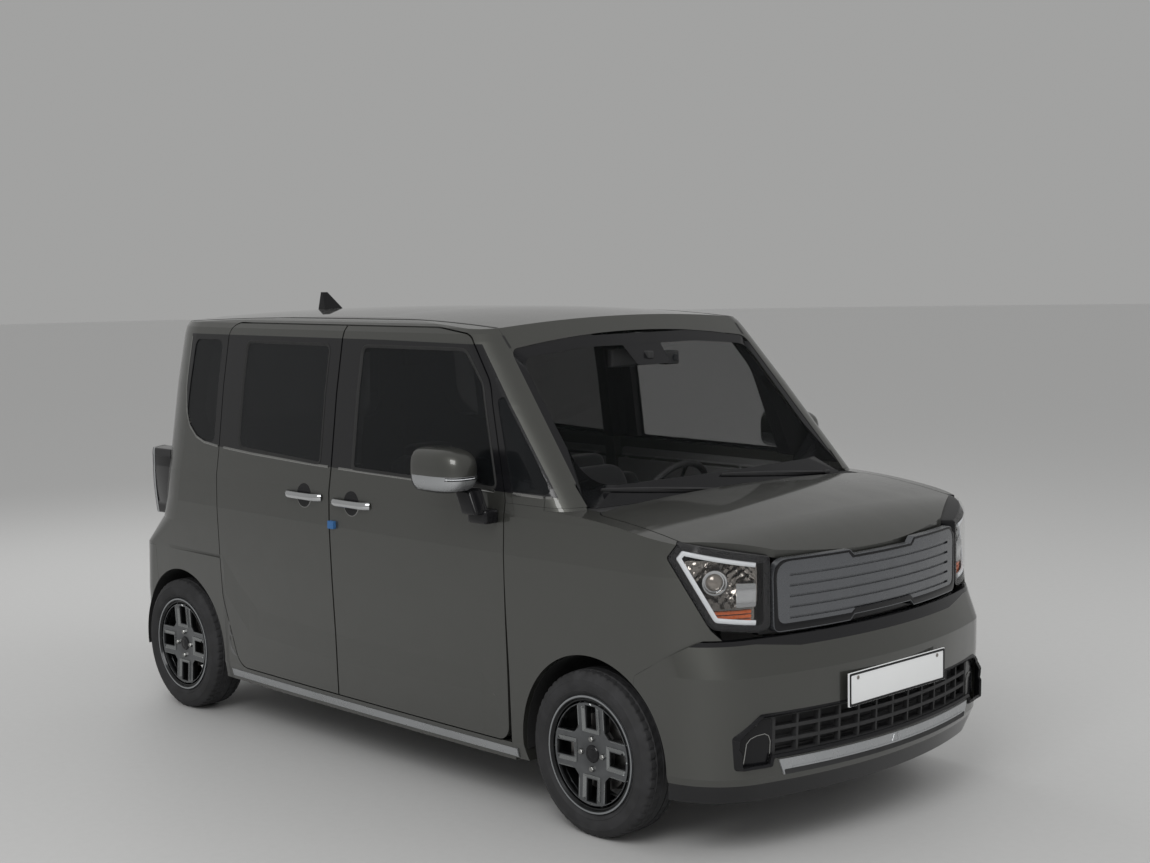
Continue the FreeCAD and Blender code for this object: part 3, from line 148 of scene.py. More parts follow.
class Nodes:
    """Short hand for one material's node tree."""

    def __init__(self, name):
        self.material = bpy.data.materials.new(name)
        self.material.use_nodes = True
        self.tree = self.material.node_tree
        self.shader = self.tree.nodes["Principled BSDF"]
        self.place = self.tree.nodes.new("ShaderNodeTexCoord").outputs["Object"]

    def link(self, out, socket):
        if hasattr(out, "is_linked"):
            self.tree.links.new(out, socket)
        else:
            socket.default_value = out
        return socket

    def noise(self, scale, detail=3.0, roughness=0.55, where=None):
        node = self.tree.nodes.new("ShaderNodeTexNoise")
        self.link(where or self.place, node.inputs["Vector"])
        node.inputs["Scale"].default_value = scale
        node.inputs["Detail"].default_value = detail
        node.inputs["Roughness"].default_value = roughness
        return node.outputs[0]

    def math(self, kind, a, b=0.0, clamp=False):
        node = self.tree.nodes.new("ShaderNodeMath")
        node.operation = kind
        node.use_clamp = clamp
        self.link(a, node.inputs[0])
        self.link(b, node.inputs[1])
        return node.outputs[0]

    def span(self, value, low, high, to_low=0.0, to_high=1.0):
        node = self.tree.nodes.new("ShaderNodeMapRange")
        self.link(value, node.inputs[0])
        for i, v in enumerate((low, high, to_low, to_high)):
            self.link(v, node.inputs[i + 1])
        return node.outputs[0]

    def mix(self, factor, a, b):
        node = self.tree.nodes.new("ShaderNodeMix")
        node.data_type = "RGBA"
        self.link(factor, node.inputs[0])
        self.link(a if hasattr(a, "is_linked") else (*a, 1.0), node.inputs[6])
        self.link(b if hasattr(b, "is_linked") else (*b, 1.0), node.inputs[7])
        return node.outputs[2]

    def blend(self, factor, a, b):
        return self.math("ADD", a, self.math("MULTIPLY", factor, self.math("SUBTRACT", b, a)))

    def axes(self):
        node = self.tree.nodes.new("ShaderNodeSeparateXYZ")
        self.link(self.place, node.inputs[0])
        return node.outputs[0], node.outputs[1], node.outputs[2]

    def stretched(self, x, y, z):
        node = self.tree.nodes.new("ShaderNodeVectorMath")
        node.operation = "MULTIPLY"
        self.link(self.place, node.inputs[0])
        node.inputs[1].default_value = (x, y, z)
        return node.outputs[0]

    def bump(self, height, strength, distance=0.001):
        node = self.tree.nodes.new("ShaderNodeBump")
        node.inputs["Strength"].default_value = strength
        node.inputs["Distance"].default_value = distance
        self.link(height, node.inputs["Height"])
        self.link(node.outputs[0], self.shader.inputs["Normal"])

    def set(self, **values):
        for name, value in values.items():
            socket = self.shader.inputs[name.replace("_", " ")]
            socket.default_value = (*value, 1.0) if hasattr(value, "__len__") else value


def shaded(colour, depth):
    return tuple(min(1.0, c * depth) for c in colour)


def finish(name, colour, roughness, metallic=0.0, tone=0.12, tone_scale=4.0, spread=0.06, grain=0.15,
           grain_scale=600.0, grain_depth=0.0004, **sockets):
    """A moulded, painted or metal surface: soft tone, roughness that drifts, and a fine grain in relief."""
    n = Nodes(name)
    cloud = n.noise(tone_scale, 4.0)
    n.link(n.mix(n.span(cloud, 0.3, 0.7), shaded(colour, 1.0 - tone), shaded(colour, 1.0 + tone)),
           n.shader.inputs["Base Color"])
    drift = n.noise(tone_scale * 7.0, 3.0)
    n.link(n.span(drift, 0.3, 0.7, max(0.02, roughness - spread), min(1.0, roughness + spread)),
           n.shader.inputs["Roughness"])
    n.shader.inputs["Metallic"].default_value = metallic
    n.bump(n.noise(grain_scale, 2.0), grain, grain_depth)
    n.set(**sockets)
    return n.material


def line_height(n, x, points):
    """Height of the line through points (x falling) at x."""
    height = None
    for (x0, z0), (x1, z1) in zip(points, points[1:]):
        part = n.span(x, x0, x1, z0, z1)
        height = part if height is None else n.math("ADD", height, n.math("SUBTRACT", part, z0))
    return height


def paint_material(name, settings, banded=False, ribbed=False, lip_and_shade=False):
    """Metallic paint under a clear coat. Banded turns gloss black round the side windows and presses the
    doors, the lip option blackens the bumper's upper edge and paints black shade along its foot, under the
    skid plate, and ribbed presses roof ribs."""
    n = Nodes(name)
    colour = tuple(settings.colour)
    flake = n.noise(2600.0, 2.0)
    cloud = n.noise(1.6, 3.0)
    base = n.mix(n.span(flake, 0.35, 0.65), shaded(colour, 0.86), shaded(colour, 1.15))
    base = n.mix(n.span(cloud, 0.35, 0.65), base, shaded(colour, 1.02))
    metallic = settings.metallic
    roughness = n.span(n.noise(9.0, 3.0), 0.3, 0.7, settings.roughness - 0.03, settings.roughness + 0.03)
    black = None
    if lip_and_shade:
        x, y, z = n.axes()
        top = n.math("GREATER_THAN", z, n.span(n.math("ABSOLUTE", y), 0.40, 0.56, 0.666, 0.686))
        # Black along the top is the bumper's real black lip; black below the height is painted shade under
        # the skid plate
        black = n.math("ADD", top, n.math("LESS_THAN", z, BUMPER_SHADE_TOP), True)
    if banded:
        x, y, z = n.axes()
        side = n.math("GREATER_THAN", n.math("ABSOLUTE", y), 0.60)
        low = n.math("GREATER_THAN", z, line_height(n, x, PILLAR_BLACK))
        under = n.math("LESS_THAN", z, n.span(x, 0.0, 0.5, 1.606, 1.600))
        ahead = n.math("LESS_THAN", n.math("ADD", n.math("MULTIPLY", z, PILLAR_SLOPE), x), PILLAR_LINE)
        black = n.math("MULTIPLY", n.math("MULTIPLY", side, low), n.math("MULTIPLY", under, ahead))
    n.set(Coat_Weight=1.0, Coat_Roughness=0.035, Coat_IOR=1.5)
    if black:
        painted = n.math("SUBTRACT", 1.0, black)
        base = n.mix(black, base, (0.007, 0.007, 0.008))
        metallic = n.math("MULTIPLY", painted, metallic)
        roughness = n.blend(black, roughness, 0.16)
        n.link(painted, n.shader.inputs["Coat Weight"])
    n.link(base, n.shader.inputs["Base Color"])
    n.link(metallic, n.shader.inputs["Metallic"])
    n.link(roughness, n.shader.inputs["Roughness"])
    if ribbed:
        x, y, z = n.axes()
        ribs = [n.span(n.math("ABSOLUTE", n.math("SUBTRACT", n.math("ABSOLUTE", y), middle)), 0.010, 0.028,
                       1.0, 0.0)
                for middle in (0.36, 0.14)]
        ends = n.math("MULTIPLY", n.span(x, 0.35, 0.50, 1.0, 0.0), n.span(x, -1.40, -1.30, 0.0, 1.0))
        n.bump(n.math("MULTIPLY", n.math("ADD", *ribs), ends), 0.5, 0.004)
    elif banded:
        upper = line_height(n, x, PRESSING_TOP)
        lower = line_height(n, x, PRESSING_FOOT)
        swell = n.span(n.math("DIVIDE", n.math("SUBTRACT", upper, z),
                              n.math("MAXIMUM", n.math("SUBTRACT", upper, lower), 0.004)), 0.0, 1.0)
        ends = n.math("MULTIPLY", n.span(x, 0.60, 0.68, 1.0, 0.0), n.span(x, -1.05, -1.03, 0.0, 1.0))
        n.bump(n.math("MULTIPLY", swell, ends), 1.0, 0.012)
    else:
        n.bump(n.noise(140.0, 2.0), 0.02, 0.0004)
    return n.material


def glass_material(name, colour, alpha, roughness=0.02, coat=0.0):
    """Clear or tinted pane: faint smears in the roughness, see-through by alpha."""
    n = Nodes(name)
    smear = n.noise(3.0, 4.0)
    n.link(n.mix(n.span(smear, 0.3, 0.7), shaded(colour, 0.9), shaded(colour, 1.1)),
           n.shader.inputs["Base Color"])
    n.link(n.span(n.noise(11.0, 3.0), 0.3, 0.7, roughness, roughness + 0.035), n.shader.inputs["Roughness"])
    n.bump(n.noise(3.0, 1.0), 0.01, 0.001)
    n.set(Alpha=alpha, Specular_IOR_Level=0.3, IOR=1.5, Coat_Weight=coat, Coat_Roughness=0.02)
    return n.material


def cloth_material(name, colour):
    """Woven seat cloth: crossed threads in relief, mottled tone, soft sheen."""
    n = Nodes(name)
    height = None
    for axis in ("X", "Y", "Z"):
        wave = n.tree.nodes.new("ShaderNodeTexWave")
        wave.bands_direction = axis
        wave.inputs["Scale"].default_value = 160.0
        wave.inputs["Distortion"].default_value = 0.6
        n.link(n.place, wave.inputs["Vector"])
        height = wave.outputs[1] if height is None else n.math("ADD", height, wave.outputs[1])
    mottle = n.noise(420.0, 2.0)
    base = n.mix(n.span(mottle, 0.3, 0.7), shaded(colour, 0.65), shaded(colour, 1.4))
    n.link(n.mix(n.span(n.noise(5.0, 3.0), 0.3, 0.7), base, shaded(colour, 0.85)),
           n.shader.inputs["Base Color"])
    n.link(n.span(mottle, 0.2, 0.8, 0.78, 0.96), n.shader.inputs["Roughness"])
    n.bump(height, 0.35, 0.0008)
    n.set(Sheen_Weight=0.3, Sheen_Roughness=0.5)
    return n.material


def rubber_material(name, colour, roughness):
    """Tyre rubber: dust that comes and goes, and a mould grain."""
    n = Nodes(name)
    dust = n.noise(14.0, 5.0)
    n.link(n.mix(n.span(dust, 0.42, 0.75), colour, shaded(colour, 2.1)), n.shader.inputs["Base Color"])
    n.link(n.span(dust, 0.3, 0.7, roughness - 0.1, roughness + 0.08), n.shader.inputs["Roughness"])
    n.bump(n.noise(500.0, 3.0), 0.25, 0.0006)
    return n.material


def rim_material(name, face, pocket, outer_y):
    """Machined grey wheel face with a dark barrel and a bright lip, darker where the metal lies back."""
    n = Nodes(name)
    x, y, z = n.axes()
    deep = n.span(n.math("ABSOLUTE", y), outer_y - 0.012, outer_y - 0.006, 1.0, 0.0)
    brushed = n.noise(30.0, 4.0, where=n.stretched(1.0, 12.0, 1.0))
    base = n.mix(n.span(brushed, 0.3, 0.7), shaded(face, 0.88), shaded(face, 1.1))
    along = n.math("SUBTRACT", x, n.span(x, -0.1, 0.1, REAR_AXLE, FRONT_AXLE))
    above = n.math("SUBTRACT", z, WHEEL_Z)
    radius = n.math("SQRT", n.math("ADD", n.math("MULTIPLY", along, along), n.math("MULTIPLY", above, above)))
    base = n.mix(n.span(radius, BAND_RADIUS, BAND_RADIUS + 0.003), base, pocket)
    base = n.mix(n.span(radius, LIP_RADIUS, LIP_RADIUS + 0.0015), base, shaded(face, 2.6))
    n.link(n.mix(deep, base, pocket), n.shader.inputs["Base Color"])
    n.link(n.span(brushed, 0.3, 0.7, 0.28, 0.40), n.shader.inputs["Roughness"])
    n.set(Metallic=0.85, Coat_Weight=0.4, Coat_Roughness=0.1)
    n.bump(n.noise(700.0, 2.0), 0.06, 0.0003)
    return n.material


LIB = {}


def make_library(paint):
    """Every finish on the car."""
    black = (0.008, 0.008, 0.009)
    LIB.update({
        "paint": paint_material("olive_grey_paint", paint),
        "banded": paint_material("olive_grey_paint_and_black_pillars", paint, banded=True),
        "ribbed": paint_material("olive_grey_roof_paint", paint, ribbed=True),
        # Front bumper paint: real black top lip, and painted black shade along the foot under the skid plate
        "lip_and_shade": paint_material("olive_grey_paint_black_lip_and_painted_shade", paint, lip_and_shade=True),
        "gloss_black": finish("gloss_black_plastic", black, 0.14, spread=0.03, grain=0.02,
                              Specular_IOR_Level=0.3),
        "matt_black": finish("grained_black_plastic", (0.022, 0.022, 0.023), 0.62, grain=0.5,
                             grain_scale=900.0),
        "seal": finish("seal_rubber", (0.012, 0.012, 0.012), 0.55, grain=0.2),
        "chrome": finish("chrome_plate", (0.62, 0.63, 0.64), 0.10, metallic=1.0, tone=0.04, spread=0.03,
                         grain=0.02),
        "dull_chrome": finish("satin_chrome", (0.34, 0.34, 0.33), 0.24, metallic=1.0, tone=0.06, grain=0.03),
        "silver": finish("satin_silver_paint", (0.42, 0.43, 0.44), 0.30, metallic=0.75, tone=0.05,
                         grain=0.06),
        "panel_grey": finish("satin_grey_panel_paint", (0.135, 0.14, 0.15), 0.28, metallic=0.7, tone=0.05,
                             grain=0.05, Coat_Weight=0.4, Coat_Roughness=0.15),
        "side_glass": glass_material("dark_side_glass", (0.008, 0.009, 0.010), 0.74),
        "front_glass": glass_material("tinted_side_glass", (0.008, 0.009, 0.010), 0.50),
        "screen_glass": glass_material("windscreen_glass", (0.012, 0.014, 0.014), 0.09),
        "lens": glass_material("clear_lamp_lens", (0.20, 0.20, 0.20), 0.05, coat=0.5),
        "red_lens": glass_material("red_lamp_lens", (0.28, 0.008, 0.008), 0.85, 0.05),
        "amber": finish("amber_reflector", (0.50, 0.10, 0.02), 0.20, tone=0.2, grain=0.3, grain_scale=300.0),
        "bowl": finish("headlight_bowl", (0.26, 0.24, 0.22), 0.08, metallic=1.0, tone=0.10, spread=0.03,
                       grain=0.05),
        "barrel_glass": finish("lamp_barrel_glass", (0.30, 0.27, 0.24), 0.05, metallic=0.6, tone=0.3,
                               spread=0.02, grain=0.02, Specular_IOR_Level=0.8),
        "guide": finish("white_light_guide", (0.66, 0.68, 0.70), 0.35, tone=0.04, grain=0.05),
        "rubber": rubber_material("tyre_rubber", (0.016, 0.016, 0.017), 0.78),
        "wheel": rim_material("machined_wheel_face", (0.13, 0.135, 0.14), (0.020, 0.021, 0.022),
                              RIM_FACE_Y),
        "machined": finish("machined_alloy", (0.30, 0.31, 0.31), 0.26, metallic=0.9, tone=0.08, grain=0.05),
        "iron": finish("cast_iron", (0.10, 0.095, 0.09), 0.62, metallic=0.7, tone=0.25, grain=0.5,
                       grain_scale=300.0),
        "disc": finish("turned_brake_disc", (0.32, 0.31, 0.30), 0.36, metallic=1.0, tone=0.15, grain=0.2,
                       grain_scale=1200.0),
        "underbody": finish("underbody_coating", (0.030, 0.030, 0.031), 0.75, tone=0.3, grain=0.7,
                            grain_scale=180.0),
        "steel": finish("exhaust_steel", (0.30, 0.28, 0.26), 0.42, metallic=0.9, tone=0.2, grain=0.2),
        "alloy": finish("cast_alloy", (0.36, 0.36, 0.36), 0.5, metallic=0.8, tone=0.15, grain=0.4),
        "plate": finish("blank_plate_white", (0.78, 0.79, 0.79), 0.38, tone=0.02, grain=0.06),
        "cabin_black": finish("cabin_black_plastic", (0.028, 0.028, 0.029), 0.66, grain=0.6,
                              grain_scale=700.0),
        "cabin_grey": finish("cabin_grey_plastic", (0.11, 0.11, 0.11), 0.6, grain=0.5, grain_scale=700.0),
        "headlining": finish("headlining_cloth", (0.38, 0.37, 0.34), 0.92, grain=0.7, grain_scale=900.0),
        "cloth": cloth_material("seat_cloth", (0.055, 0.055, 0.058)),
        "cloth_dark": cloth_material("seat_edge_cloth", (0.022, 0.022, 0.024)),
        "liner": finish("arch_liner_felt", (0.010, 0.010, 0.010), 0.92, grain=0.8, grain_scale=260.0),
        "red_glow": finish("red_reflector", (0.30, 0.012, 0.010), 0.25, tone=0.2, grain=0.3,
                           grain_scale=300.0),
        "mirror": finish("mirror_silvering", (0.72, 0.74, 0.75), 0.03, metallic=1.0, tone=0.02, spread=0.01,
                         grain=0.0),
        "display": finish("dark_display", (0.008, 0.009, 0.012), 0.08, spread=0.02, grain=0.01),
        "foam": finish("blue_door_guard_foam", (0.03, 0.12, 0.30), 0.7, tone=0.15, grain=0.5),
        "floor_mat": finish("cabin_carpet", (0.030, 0.030, 0.031), 0.95, tone=0.25, grain=0.9,
                            grain_scale=500.0),
    })


# Mesh tools

def piece(name, bm, materials, body, replaces=(), smooth=35.0):
    """Turn bm into a named object, its faces outwards, that rides on a body."""
    bmesh.ops.recalc_face_normals(bm, faces=bm.faces[:])
    bmesh.ops.remove_doubles(bm, verts=bm.verts, dist=1e-6)
    mesh = bpy.data.meshes.new(name)
    bm.to_mesh(mesh)
    bm.free()
    for key in materials:
        mesh.materials.append(LIB[key])
    mesh.polygons.foreach_set("use_smooth", [True] * len(mesh.polygons))
    mesh.set_sharp_from_angle(angle=math.radians(smooth))
    obj = bpy.data.objects.new(name, mesh)
    bpy.context.scene.collection.objects.link(obj)
    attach(obj, body)
    if replaces:
        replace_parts(obj, *replaces)
    return obj


def skin(*names):
    """Surface of the named nodes, to lay trim on."""
    points, faces = [], []
    for name in names:
        mesh = NODES[name].data
        base = len(points)
        points += [v.co.copy() for v in mesh.vertices]
        faces += [[base + i for i in p.vertices] for p in mesh.polygons]
    return BVHTree.FromPolygons(points, faces)


def from_side(side):
    return lambda a, b: (Vector((a, 2.0 * side, b)), Vector((0.0, -side, 0.0)))


def from_front(a, b):
    return Vector((3.0, a, b)), Vector((-1.0, 0.0, 0.0))


def from_rear(a, b):
    return Vector((-3.0, a, b)), Vector((1.0, 0.0, 0.0))


def from_above(a, b):
    return Vector((a, b, 3.0)), Vector((0.0, 0.0, -1.0))


def from_lamp(side):
    """Square on to a headlight: a runs outwards from the nose corner, b is the height."""
    ahead = Vector((math.sin(LAMP_TURN), side * math.cos(LAMP_TURN), 0.0))
    x, y = LAMP_CORNER

    def ray(a, b):
        start = Vector((x - math.cos(LAMP_TURN) * a, side * (y + math.sin(LAMP_TURN) * a), b))
        return start + ahead, -ahead
    return ray


def from_inside(side):
    """Looking outwards from the middle of the cabin."""
    return lambda a, b: (Vector((a, 0.0, b)), Vector((0.0, side, 0.0)))


def from_floor(a, b):
    return Vector((a, b, 0.9)), Vector((0.0, 0.0, 1.0))


def both_halves(points):
    """Whole outline from the corners on its left half."""
    return list(points) + [(-a, b, r) for a, b, r in reversed(points)]


def on_side(points, side):
    """Outline of the left side, or its mirror image for the right."""
    return [(side * a, b, r) for a, b, r in points]


def oblong(first, second, low, high, radius):
    """Corners of an upright rectangle, up its first side and down its second."""
    return [(first, low, radius), (first, high, radius), (second, high, radius), (second, low, radius)]


def between(start, end, steps):
    """Points (a, b) in even steps from start to end."""
    return [tuple(p + (q - p) * k / steps for p, q in zip(start, end)) for k in range(steps + 1)]


def bead(height, edge, foot=-0.001):
    """Section of a raised strip: (share across, lift), flat between its edges."""
    return (0.0, foot), (edge, height), (1.0 - edge, height), (1.0, foot)


def carrier(door):
    """Body that carries a door's trim: the right rear door stays fixed to the car."""
    return "body" if door == "door_rear_right" else door


def circle(a, b, radius, count=40):
    return [Vector((a + radius * math.cos(2 * math.pi * k / count),
                    b + radius * math.sin(2 * math.pi * k / count)))
            for k in range(count)]


def span_box(side, x, y, z):
    """Low and high corner of a box given for the left side."""
    return (x[0], min(side * y[0], side * y[1]), z[0]), (x[1], max(side * y[0], side * y[1]), z[1])


def cast(ray, tree, a, b, lift=0.0, spare=MISS_REACH):
    """Point of the surface seen at (a, b), raised towards the eye by lift."""
    start, way = ray(a, b)
    hit = tree.ray_cast(start, way)[0]
    if hit is None:
        near = tree.find_nearest(start + way * spare)[0]
        hit = start + way * (near - start).dot(way)
    return hit - way * lift


def grown(points, step):
    """Outline with every side moved out by step, corner radii following."""
    count = len(points)
    area = sum(points[i - 1][0] * points[i][1] - points[i][0] * points[i - 1][1] for i in range(count))
    sign = 1.0 if area > 0 else -1.0
    lines = []
    for i in range(count):
        (ax, ay, _), (bx, by, _) = points[i - 1], points[i]
        length = math.hypot(bx - ax, by - ay)
        nx, ny = sign * (by - ay) / length, -sign * (bx - ax) / length
        lines.append((nx, ny, nx * ax + ny * ay + step))
    corners = []
    for i in range(count):
        (a1, b1, c1), (a2, b2, c2) = lines[i], lines[(i + 1) % count]
        det = a1 * b2 - a2 * b1
        corners.append(((c1 * b2 - c2 * b1) / det, (a1 * c2 - a2 * c1) / det,
                        max(points[i][2] + step, 0.002)))
    return corners


def outline(points, arc=5, run=8):
    """Points round the corners and along the sides, the same number for any outline of as many corners."""
    count = len(points)
    shares = [k / arc for k in range(arc + 1)]
    stops = []
    for i, (a, b, radius) in enumerate(points):
        before, after = points[i - 1], points[(i + 1) % count]
        u = Vector((before[0] - a, before[1] - b))
        v = Vector((after[0] - a, after[1] - b))
        half = u.angle(v) / 2
        reach = min(max(radius, 0.001) / math.tan(half), 0.45 * u.length, 0.45 * v.length)
        start, end = Vector((a, b)) + u.normalized() * reach, Vector((a, b)) + v.normalized() * reach
        corner = Vector((a, b))
        stops.append([start.lerp(corner, t).lerp(corner.lerp(end, t), t) for t in shares])
    ring = []
    for i, stop in enumerate(stops):
        ring += stop
        nxt = stops[(i + 1) % count][0]
        ring += [stop[-1].lerp(nxt, k / run) for k in range(1, run)]
    return ring


def strip(bm, rows, closed, mat=0):
    """Quads between rows of points; closed joins each row's ends."""
    verts = [[bm.verts.new(p) for p in row] for row in rows]
    faces = []
    for one, two in zip(verts, verts[1:]):
        last = len(one) if closed else len(one) - 1
        for i in range(last):
            j = (i + 1) % len(one)
            faces.append(bm.faces.new((one[i], one[j], two[j], two[i])))
    for face in faces:
        face.material_index = mat
    return verts


def moulding(bm, outer, inner, ray, tree, section, mat=0, spare=MISS_REACH):
    """Frame between two outlines; section lists (share from outer to inner, lift), first row to last."""
    rows = []
    for share, lift in section:
        rows.append([cast(ray, tree, *(p.lerp(q, share)), lift, spare) for p, q in zip(outer, inner)])
    return strip(bm, rows + [rows[0]], True, mat)


def stroke(bm, path, width, ray, tree, section, mat=0):
    """Moulding along an open path (a, b); section lists (share across, lift)."""
    points = [Vector(p) for p in path]
    rows = [[] for _ in section]
    for i, p in enumerate(points):
        way = (points[min(i + 1, len(points) - 1)] - points[max(i - 1, 0)]).normalized()
        out = Vector((-way.y, way.x))
        for row, (share, lift) in zip(rows, section):
            q = p + out * width * (share - 0.5)
            row.append(cast(ray, tree, q.x, q.y, lift))
    verts = strip(bm, rows + [rows[0]], False, mat)
    for end in (0, -1):
        cap = bm.faces.new([row[end] for row in verts[:-1]])
        cap.material_index = mat
    return verts


def plate_patch(bm, ring, ray, tree, lift, depth, step=0.03, mat=0, relief=None, spare=MISS_REACH):
    """Closed skin over an outline, laid on a surface: outer face at lift, back face depth below it."""
    flat = bmesh.new()
    flat.faces.new([flat.verts.new((p.x, p.y, 0.0)) for p in ring])
    bmesh.ops.triangulate(flat, faces=flat.faces[:])
    for axis in (0, 1):
        low, high = min(p[axis] for p in ring), max(p[axis] for p in ring)
        pitch = step[axis] if hasattr(step, "__len__") else step
        for k in range(1, int((high - low) / pitch) + 1):
            place = Vector((0.0, 0.0, 0.0))
            place[axis] = low + k * pitch
            across = Vector((1.0 - axis, axis, 0.0))
            bmesh.ops.bisect_plane(flat, geom=flat.verts[:] + flat.edges[:] + flat.faces[:], plane_co=place,
                                   plane_no=across, dist=1e-6)
    bmesh.ops.remove_doubles(flat, verts=flat.verts, dist=2e-5)
    flat.verts.ensure_lookup_table()
    front, back = {}, {}
    for v in flat.verts:
        extra = relief(v.co.x, v.co.y) if relief else 0.0
        front[v.index] = bm.verts.new(cast(ray, tree, v.co.x, v.co.y, lift + extra, spare))
        back[v.index] = bm.verts.new(cast(ray, tree, v.co.x, v.co.y, lift - depth, spare))
    made = []
    for f in flat.faces:
        made.append(bm.faces.new([front[v.index] for v in f.verts]))
        made.append(bm.faces.new([back[v.index] for v in reversed(f.verts)]))
    for e in flat.edges:
        if len(e.link_faces) == 1:
            a, b = e.verts
            made.append(bm.faces.new((front[a.index], front[b.index], back[b.index], back[a.index])))
    for f in made:
        f.material_index = mat
    flat.free()
    return made


def spin(bm, centre, axes, profile, count, mat=0, closed=False):
    """Turn (along, radius) points about the first of three axes, from the second towards the third."""
    along, across, up = axes
    rows = []
    for k in range(count):
        turn = 2 * math.pi * k / count
        out = across * math.cos(turn) + up * math.sin(turn)
        rows.append([centre + along * a + out * r for a, r in profile])
    return strip(bm, rows + [rows[0]], closed, mat)


def sweep(bm, path, radius, sides=10, mat=0, flat=1.0):
    """Round or flattened bar along a path of points, with ends closed."""
    points = [Vector(p) for p in path]
    radii = radius if hasattr(radius, "__len__") else [radius] * len(points)
    rows = []
    for i, p in enumerate(points):
        way = (points[min(i + 1, len(points) - 1)] - points[max(i - 1, 0)]).normalized()
        across = way.cross(ALONG_Z)
        across = across.normalized() if across.length > 1e-4 else ALONG_Y
        lift = across.cross(way).normalized()
        rows.append([p + (across * math.cos(t) + lift * math.sin(t) * flat) * radii[i]
                     for t in [2 * math.pi * k / sides for k in range(sides)]])
    verts = strip(bm, rows, True, mat)
    for row in (verts[0], verts[-1]):
        bm.faces.new(row).material_index = mat
    return verts


def block(bm, low, high, bevel, mat=0, shape=None, cuts=0):
    """Bevelled block; shape moves its points."""
    own = bmesh.new()
    bmesh.ops.create_cube(own, size=1.0)
    low, high = Vector(low), Vector(high)
    for v in own.verts:
        v.co = Vector([low[i] + (v.co[i] + 0.5) * (high[i] - low[i]) for i in range(3)])
    if cuts:
        bmesh.ops.subdivide_edges(own, edges=own.edges[:], cuts=cuts, use_grid_fill=True)
    if shape:
        for v in own.verts:
            v.co = Vector(shape(v.co))
    if bevel:
        edges = [e for e in own.edges if e.calc_face_angle(0.0) > 0.6]
        bmesh.ops.bevel(own, geom=edges, offset=bevel, segments=3, affect="EDGES", profile=0.6)
    table = {v: bm.verts.new(v.co) for v in own.verts}
    for f in own.faces:
        bm.faces.new([table[v] for v in f.verts]).material_index = mat
    own.free()


def pad(bm, centre, half, power=0.32, rows=18, around=28, mat=0, shape=None, seam=0.0):
    """Stuffed form: a rounded block that swells between its corners."""
    def soft(value):
        return math.copysign(abs(value) ** power, value)
    rings = []
    for i in range(1, rows):
        t = math.pi * (i / rows - 0.5)
        ring = []
        for k in range(around):
            s = 2 * math.pi * k / around
            p = Vector((half[0] * soft(math.cos(t)) * soft(math.cos(s)),
                        half[1] * soft(math.cos(t)) * soft(math.sin(s)), half[2] * soft(math.sin(t))))
            if seam and i == rows // 2:
                p *= 1.0 - seam
            p += Vector(centre)
            ring.append(Vector(shape(p)) if shape else p)
        rings.append(ring)
    verts = strip(bm, rings, True, mat)
    for row in (verts[0], verts[-1]):
        middle = sum((v.co for v in row), Vector()) / len(row)
        hub = bm.verts.new(middle)
        for i in range(len(row)):
            bm.faces.new((row[i], row[(i + 1) % len(row)], hub)).material_index = mat


def wear(node, key):
    """Give a CAD node its finish."""
    mesh = NODES[node].data
    mesh.materials.clear()
    mesh.materials.append(LIB[key])


# Operators

class CAR_OT_panels(bpy.types.Operator):
    """Give every CAD sub-part its finish."""
    bl_idname = "kei_car.panels"
    bl_label = "Panels and glass"

    def execute(self, context):
        make_library(context.scene.kei_paint)
        for tag, _ in SIDES:
            for name in ("body_side_", "door_front_", "door_rear_"):
                wear(name + tag, "banded")
            wear("front_fender_" + tag, "paint")
            for end, _ in ENDS:
                wear("door_glass_%s_%s" % (end, tag), "front_glass" if end == "front" else "side_glass")
                wear("door_handle_%s_%s" % (end, tag), "chrome")
                wear("rim_%s_%s" % (end, tag), "wheel")
                wear("tyre_%s_%s" % (end, tag), "rubber")
            wear("front_knuckle_" + tag, "disc")
            wear("door_mirror_" + tag, "gloss_black")
        for name in ("hood", "rear_bumper", "tailgate"):
            wear(name, "paint")
        # The bumper's foot is painted black as shade under the skid plate
        wear("front_bumper", "lip_and_shade")
        wear("roof_panel", "ribbed")
        for name, key in (("fixed_side_glasses", "side_glass"), ("tailgate_glass", "side_glass"),
                          ("windscreen", "screen_glass"), ("antenna_fin", "gloss_black"),
                          ("wipers", "matt_black"), ("tail_lights", "red_lens"),
                          ("lower_grille", "matt_black"), ("front_panel", "panel_grey"),
                          ("front_carrier", "gloss_black"), ("front_skid_plate", "silver"),
                          ("headlights", "lens"), ("front_plate", "plate"), ("floor_pan", "underbody"),
                          ("firewall_cowl", "matt_black"), ("front_suspension", "iron"),
                          ("rear_axle", "iron"), ("engine_block", "alloy"), ("radiator", "alloy"),
                          ("exhaust", "steel"), ("fuel_tank", "matt_black"), ("front_seats", "cloth"),
                          ("rear_seat", "cloth"), ("dashboard", "cabin_black"),
                          ("steering_wheel", "cabin_black"), ("interior_mirror", "cabin_black")):
            wear(name, key)
        return {"FINISHED"}


